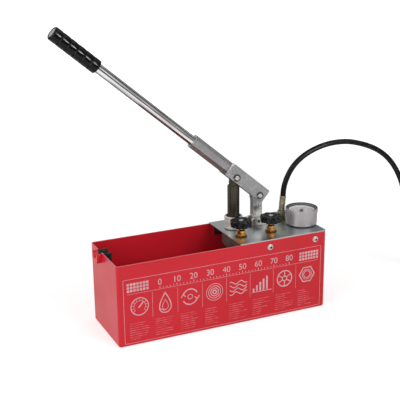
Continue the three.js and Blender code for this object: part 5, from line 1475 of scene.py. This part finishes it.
def corner_wedge(side):
    """Takes the slanted facet off a strap's upper corner, where it meets the socket."""
    facet = [Vector((x, y * side, z))
             for x, y, z in ((-29, 13.0, 22.8), (-21.5, 17.8, 22.8), (-29, 17.8, -5))]
    middle = sum(facet, Vector()) / 3
    away = (facet[1] - facet[0]).cross(facet[2] - facet[0]).normalized()
    away = away if away.x < 0 else -away
    return [middle + (point - middle) * 3 for point in facet] + [middle + away * 60], [
        (0, 1, 2), (0, 1, 3), (1, 2, 3), (2, 0, 3)]


def grip_rows():
    """Five grooves between six barrels, each barrel a little fuller in its middle."""
    low, high, radius, deep = GRIP_LOW, GRIP_HIGH, GRIP_RADIUS, length("grip_groove")
    pitch = (high - low) / BARRELS
    rows = [(GRIP_BORE, low), (radius - 2.4, low), (radius - 2.0, low + 0.4), (radius - 0.4, low + 2.0)]
    for barrel in range(BARRELS):
        start = low + barrel * pitch + (3.4 if barrel == 0 else 1.7)
        end = low + (barrel + 1) * pitch - (2.2 if barrel == BARRELS - 1 else 1.7)
        for share in (step / 6 for step in range(7)):
            rows.append((radius - 0.18 * (2 * share - 1) ** 2, start + (end - start) * share))
        if barrel < BARRELS - 1:
            middle = low + (barrel + 1) * pitch
            rows += [(radius - depth, middle + away)
                     for depth, away in ((0.35, -1.3), (deep, -0.3), (deep, 0.3), (0.35, 1.3))]
    return rows + [(radius - 0.6, high - 0.6), (radius - 1.4, high), (GRIP_BORE, high)]


class PUMP_OT_lever(bpy.types.Operator):
    """Makes the lever: straps, socket, tube, ribbed grip, end plug, pins and clips"""

    bl_idname = "test_pump.lever"
    bl_label = "Lever"

    def execute(self, context):
        edge = length("cut_edge")
        pins = {"plunger": LEVER_FRAME, "link": LEVER_FRAME @ Matrix.Translation((PIN_SPACING, 0, 0))}
        outline = rounded_outline(*STRAP_ENDS, LEVER_AXIS - STRAP_HALF, LEVER_AXIS + STRAP_HALF, 2.5)
        holes = [bore(PIN_RADIUS, -40, 40, place @ Z_TO_MINUS_Y) for place in pins.values()]
        for name, side in (("front", -1), ("rear", 1)):
            flat = slab(outline, *sorted(-side * face for face in STRAP_FACES), LEVER_FRAME @ Z_TO_MINUS_Y)
            shaped(f"lever_side_{name}", flat, "zinc_steel", f"lever_strap_{name}",
                   cuts=[*holes, moved(corner_wedge(side), LEVER_FRAME)], edge=edge)
        near_y, near_z = HOLDER_Y - HOLDER_BEVEL, HOLDER_Z - HOLDER_BEVEL
        section = [(-near_y, -HOLDER_Z), (near_y, -HOLDER_Z), (HOLDER_Y, -near_z), (HOLDER_Y, near_z),
                   (near_y, HOLDER_Z), (-near_y, HOLDER_Z), (-HOLDER_Y, near_z), (-HOLDER_Y, -near_z)]
        shaped("lever_holder", slab(section, -140, -17, LEVER_RISE @ X_TO_Z), "zinc_steel", "lever_socket",
               cuts=[bore(GRIP_BORE, -200, 60, LEVER_LINE, 64)], edge=edge)
        tube = [(8.35, -536), (10.65, -536), (10.65, -60), (8.35, -60)]
        turned("lever_pipe", tube, LEVER_LINE, "bright_tube", "lever_tube", soft=0.5)
        turned("lever_handle_grip", grip_rows(), LEVER_LINE, "grip_vinyl", "lever_grip", smooth=60)
        plug = [(0, -538.3), (3, -538.3), (3.5, -537.8), (6.6, -537.8), (7.1, -538.3), (9.9, -538.3),
                (10.65, -537.5), (10.65, -536.3), (8.05, -536.3), (8.05, -522), (0, -522)]
        turned("lever_cap", plug, LEVER_LINE, "grey_plastic", "lever_end_plug", soft=0.25, steps=72)
        clip = slab(arc((0, 0), 8.7, 16, 344, 60) + arc((0, 0), 4.2, 327, 33, 48), 18.25, 19.65, Z_TO_MINUS_Y)
        pin = moved(lathe(eased(PIN_ROWS, 0.3), 72), Matrix.Rotation(-QUARTER, 4, "X"))
        for name, place in pins.items():
            shaped(f"{name}_axle", moved(pin, place), "screw_zinc", f"{name}_pin", slot="plated_sheet")
            shaped(f"{name}_axle_clip", moved(clip, place @ Matrix.Rotation(CLIP_TURN, 4, "Y")), "dark_steel",
                   f"{name}_pin_clip", edge=0.25)
        return {"FINISHED"}


# Stage

FLOOR_REACH, FLOOR_DROP = 9000, -0.2
LAMPS = (("key", (0.9, -2.6, 1.8), 1.5, 29), ("left", (-2.5, -0.9, 1.1), 1.8, 27),
         ("glint", (1.24, -2.52, 1.02), 0.5, 32))
LAMPS_LOOK_AT = Vector((0, 0, 0.15))


def floor_paint():
    """White paper: seen by the camera it is white, and it keeps the pump's shadow."""
    finish = Finish("floor_paper")
    seen, glossy = finish.seen_and_glossy()
    x, y = finish.parts(finish.place)[:2]
    reach = (x * x + y * y) ** 0.5
    rear = finish.spread(y, 0.12, 0.3) * finish.spread(x, -0.34, -0.24)
    beyond = finish.spread(reach, 1.0, 1.5).done("MAXIMUM", rear)
    shown = glossy * (1 - seen)
    level = seen * (finish.spread(reach, 0.9, 2.4) * 0.44 + 0.53) + shown * (1 - beyond) * 0.45
    white = finish.mix(finish.noise(40.0, 2.0), (0.86, 0.86, 0.86), (0.9, 0.9, 0.9))
    paper = finish.node("ShaderNodeBsdfDiffuse", {}, {
        "Color": finish.mix(shown * beyond * 0.85, white, (0.0, 0.0, 0.0))})
    glow = finish.node("ShaderNodeEmission", {}, {"Color": (1, 1, 1, 1), "Strength": level})
    return finish.ended(finish.node("ShaderNodeAddShader", {}, {0: paper, 1: glow}))


def light_world(context):
    """White where it is seen, softer as light, and with broad grey bands for metal to show."""
    world = bpy.data.worlds.new("studio")
    context.scene.world = world
    world.use_nodes = True
    graph = Graph(world.node_tree)
    graph.tree.nodes.clear()
    x, y, up = graph.parts(graph.node("ShaderNodeTexCoord", {}, {}, "Generated"))
    azimuth = y.done("ARCTAN2", x)

    def between(value, low, high, soft):
        return graph.spread(value, low, low + soft) * graph.spread(value, high - soft, high, 1.0, 0.0)

    wide, near = between(azimuth, -1.0, 1.15, 0.12) * 0.62, between(azimuth, -0.68, 1.15, 0.14) * 0.88
    dark = wide.done("MAXIMUM", near)
    right = dark * (1 - between(azimuth, 0.14, 0.36, 0.04))
    behind = between(azimuth, 0.7, 1.75, 0.2) * 0.5
    crown = graph.spread(up, 0.78, 0.9) * 0.6
    shine = 1 - between(up, -0.02, 0.56, 0.06) * right.done("MAXIMUM", behind) - crown
    seen, glossy = graph.seen_and_glossy()
    level = (1 - seen) * (1 - glossy) * 0.42 + (1 - seen) * glossy * shine + seen
    light = graph.node("ShaderNodeBackground", {}, {"Color": (1, 1, 1, 1), "Strength": level})
    graph.node("ShaderNodeOutputWorld", {}, {"Surface": light})


class PUMP_OT_stage(bpy.types.Operator):
    """Lays a pale floor and sets soft, plain light"""

    bl_idname = "test_pump.stage"
    bl_label = "Stage"

    def execute(self, context):
        corners = [(x * FLOOR_REACH, y * FLOOR_REACH, FLOOR_DROP)
                   for x, y in ((-1, -1), (1, -1), (1, 1), (-1, 1))]
        floor = thing("floor", (corners, [(0, 1, 2, 3)]))
        floor.data.materials.append(floor_paint())
        light_world(context)
        for name, place, width, power in LAMPS:
            data = bpy.data.lights.new(name, "AREA")
            data.shape, data.size, data.size_y, data.energy = "RECTANGLE", width, width, power
            lamp = linked(name, data)
            lamp.location = place
            lamp.rotation_euler = (Vector(place) - LAMPS_LOOK_AT).to_track_quat("Z", "Y").to_euler()
            if name == "glint":
                lamp.light_linking.receiver_collection = glossy_black()
        context.scene.view_settings.view_transform = "Standard"
        return {"FINISHED"}


STEPS = (
    PUMP_OT_camera, PUMP_OT_hose, PUMP_OT_stage, PUMP_OT_tank, PUMP_OT_front_print, PUMP_OT_plate,
    PUMP_OT_pump, PUMP_OT_plumbing, PUMP_OT_valves, PUMP_OT_gauge, PUMP_OT_linkage, PUMP_OT_lever)


class PUMP_PT_panel(bpy.types.Panel):
    """Lists the pump's steps, sizes and colours"""

    bl_idname = "PUMP_PT_panel"
    bl_label = "Test pump"
    bl_space_type = "VIEW_3D"
    bl_region_type = "UI"
    bl_category = "Test pump"

    def draw(self, context):
        for step in STEPS:
            self.layout.operator(step.bl_idname)
        for group in (context.scene.test_pump_sizes, context.scene.test_pump_colours):
            box = self.layout.box()
            for name in group.__annotations__:
                box.prop(group, name)


CLASSES = (PumpColours, PumpSizes, *STEPS, PUMP_PT_panel)


def register():
    for one in CLASSES:
        bpy.utils.register_class(one)
    bpy.types.Scene.test_pump_colours = bpy.props.PointerProperty(type=PumpColours)
    bpy.types.Scene.test_pump_sizes = bpy.props.PointerProperty(type=PumpSizes)


def unregister():
    del bpy.types.Scene.test_pump_sizes
    del bpy.types.Scene.test_pump_colours
    for one in reversed(CLASSES):
        bpy.utils.unregister_class(one)


def main():
    register()
    for step in STEPS:
        group, name = step.bl_idname.split(".")
        getattr(getattr(bpy.ops, group), name)()


if __name__ == "__main__":
    main()
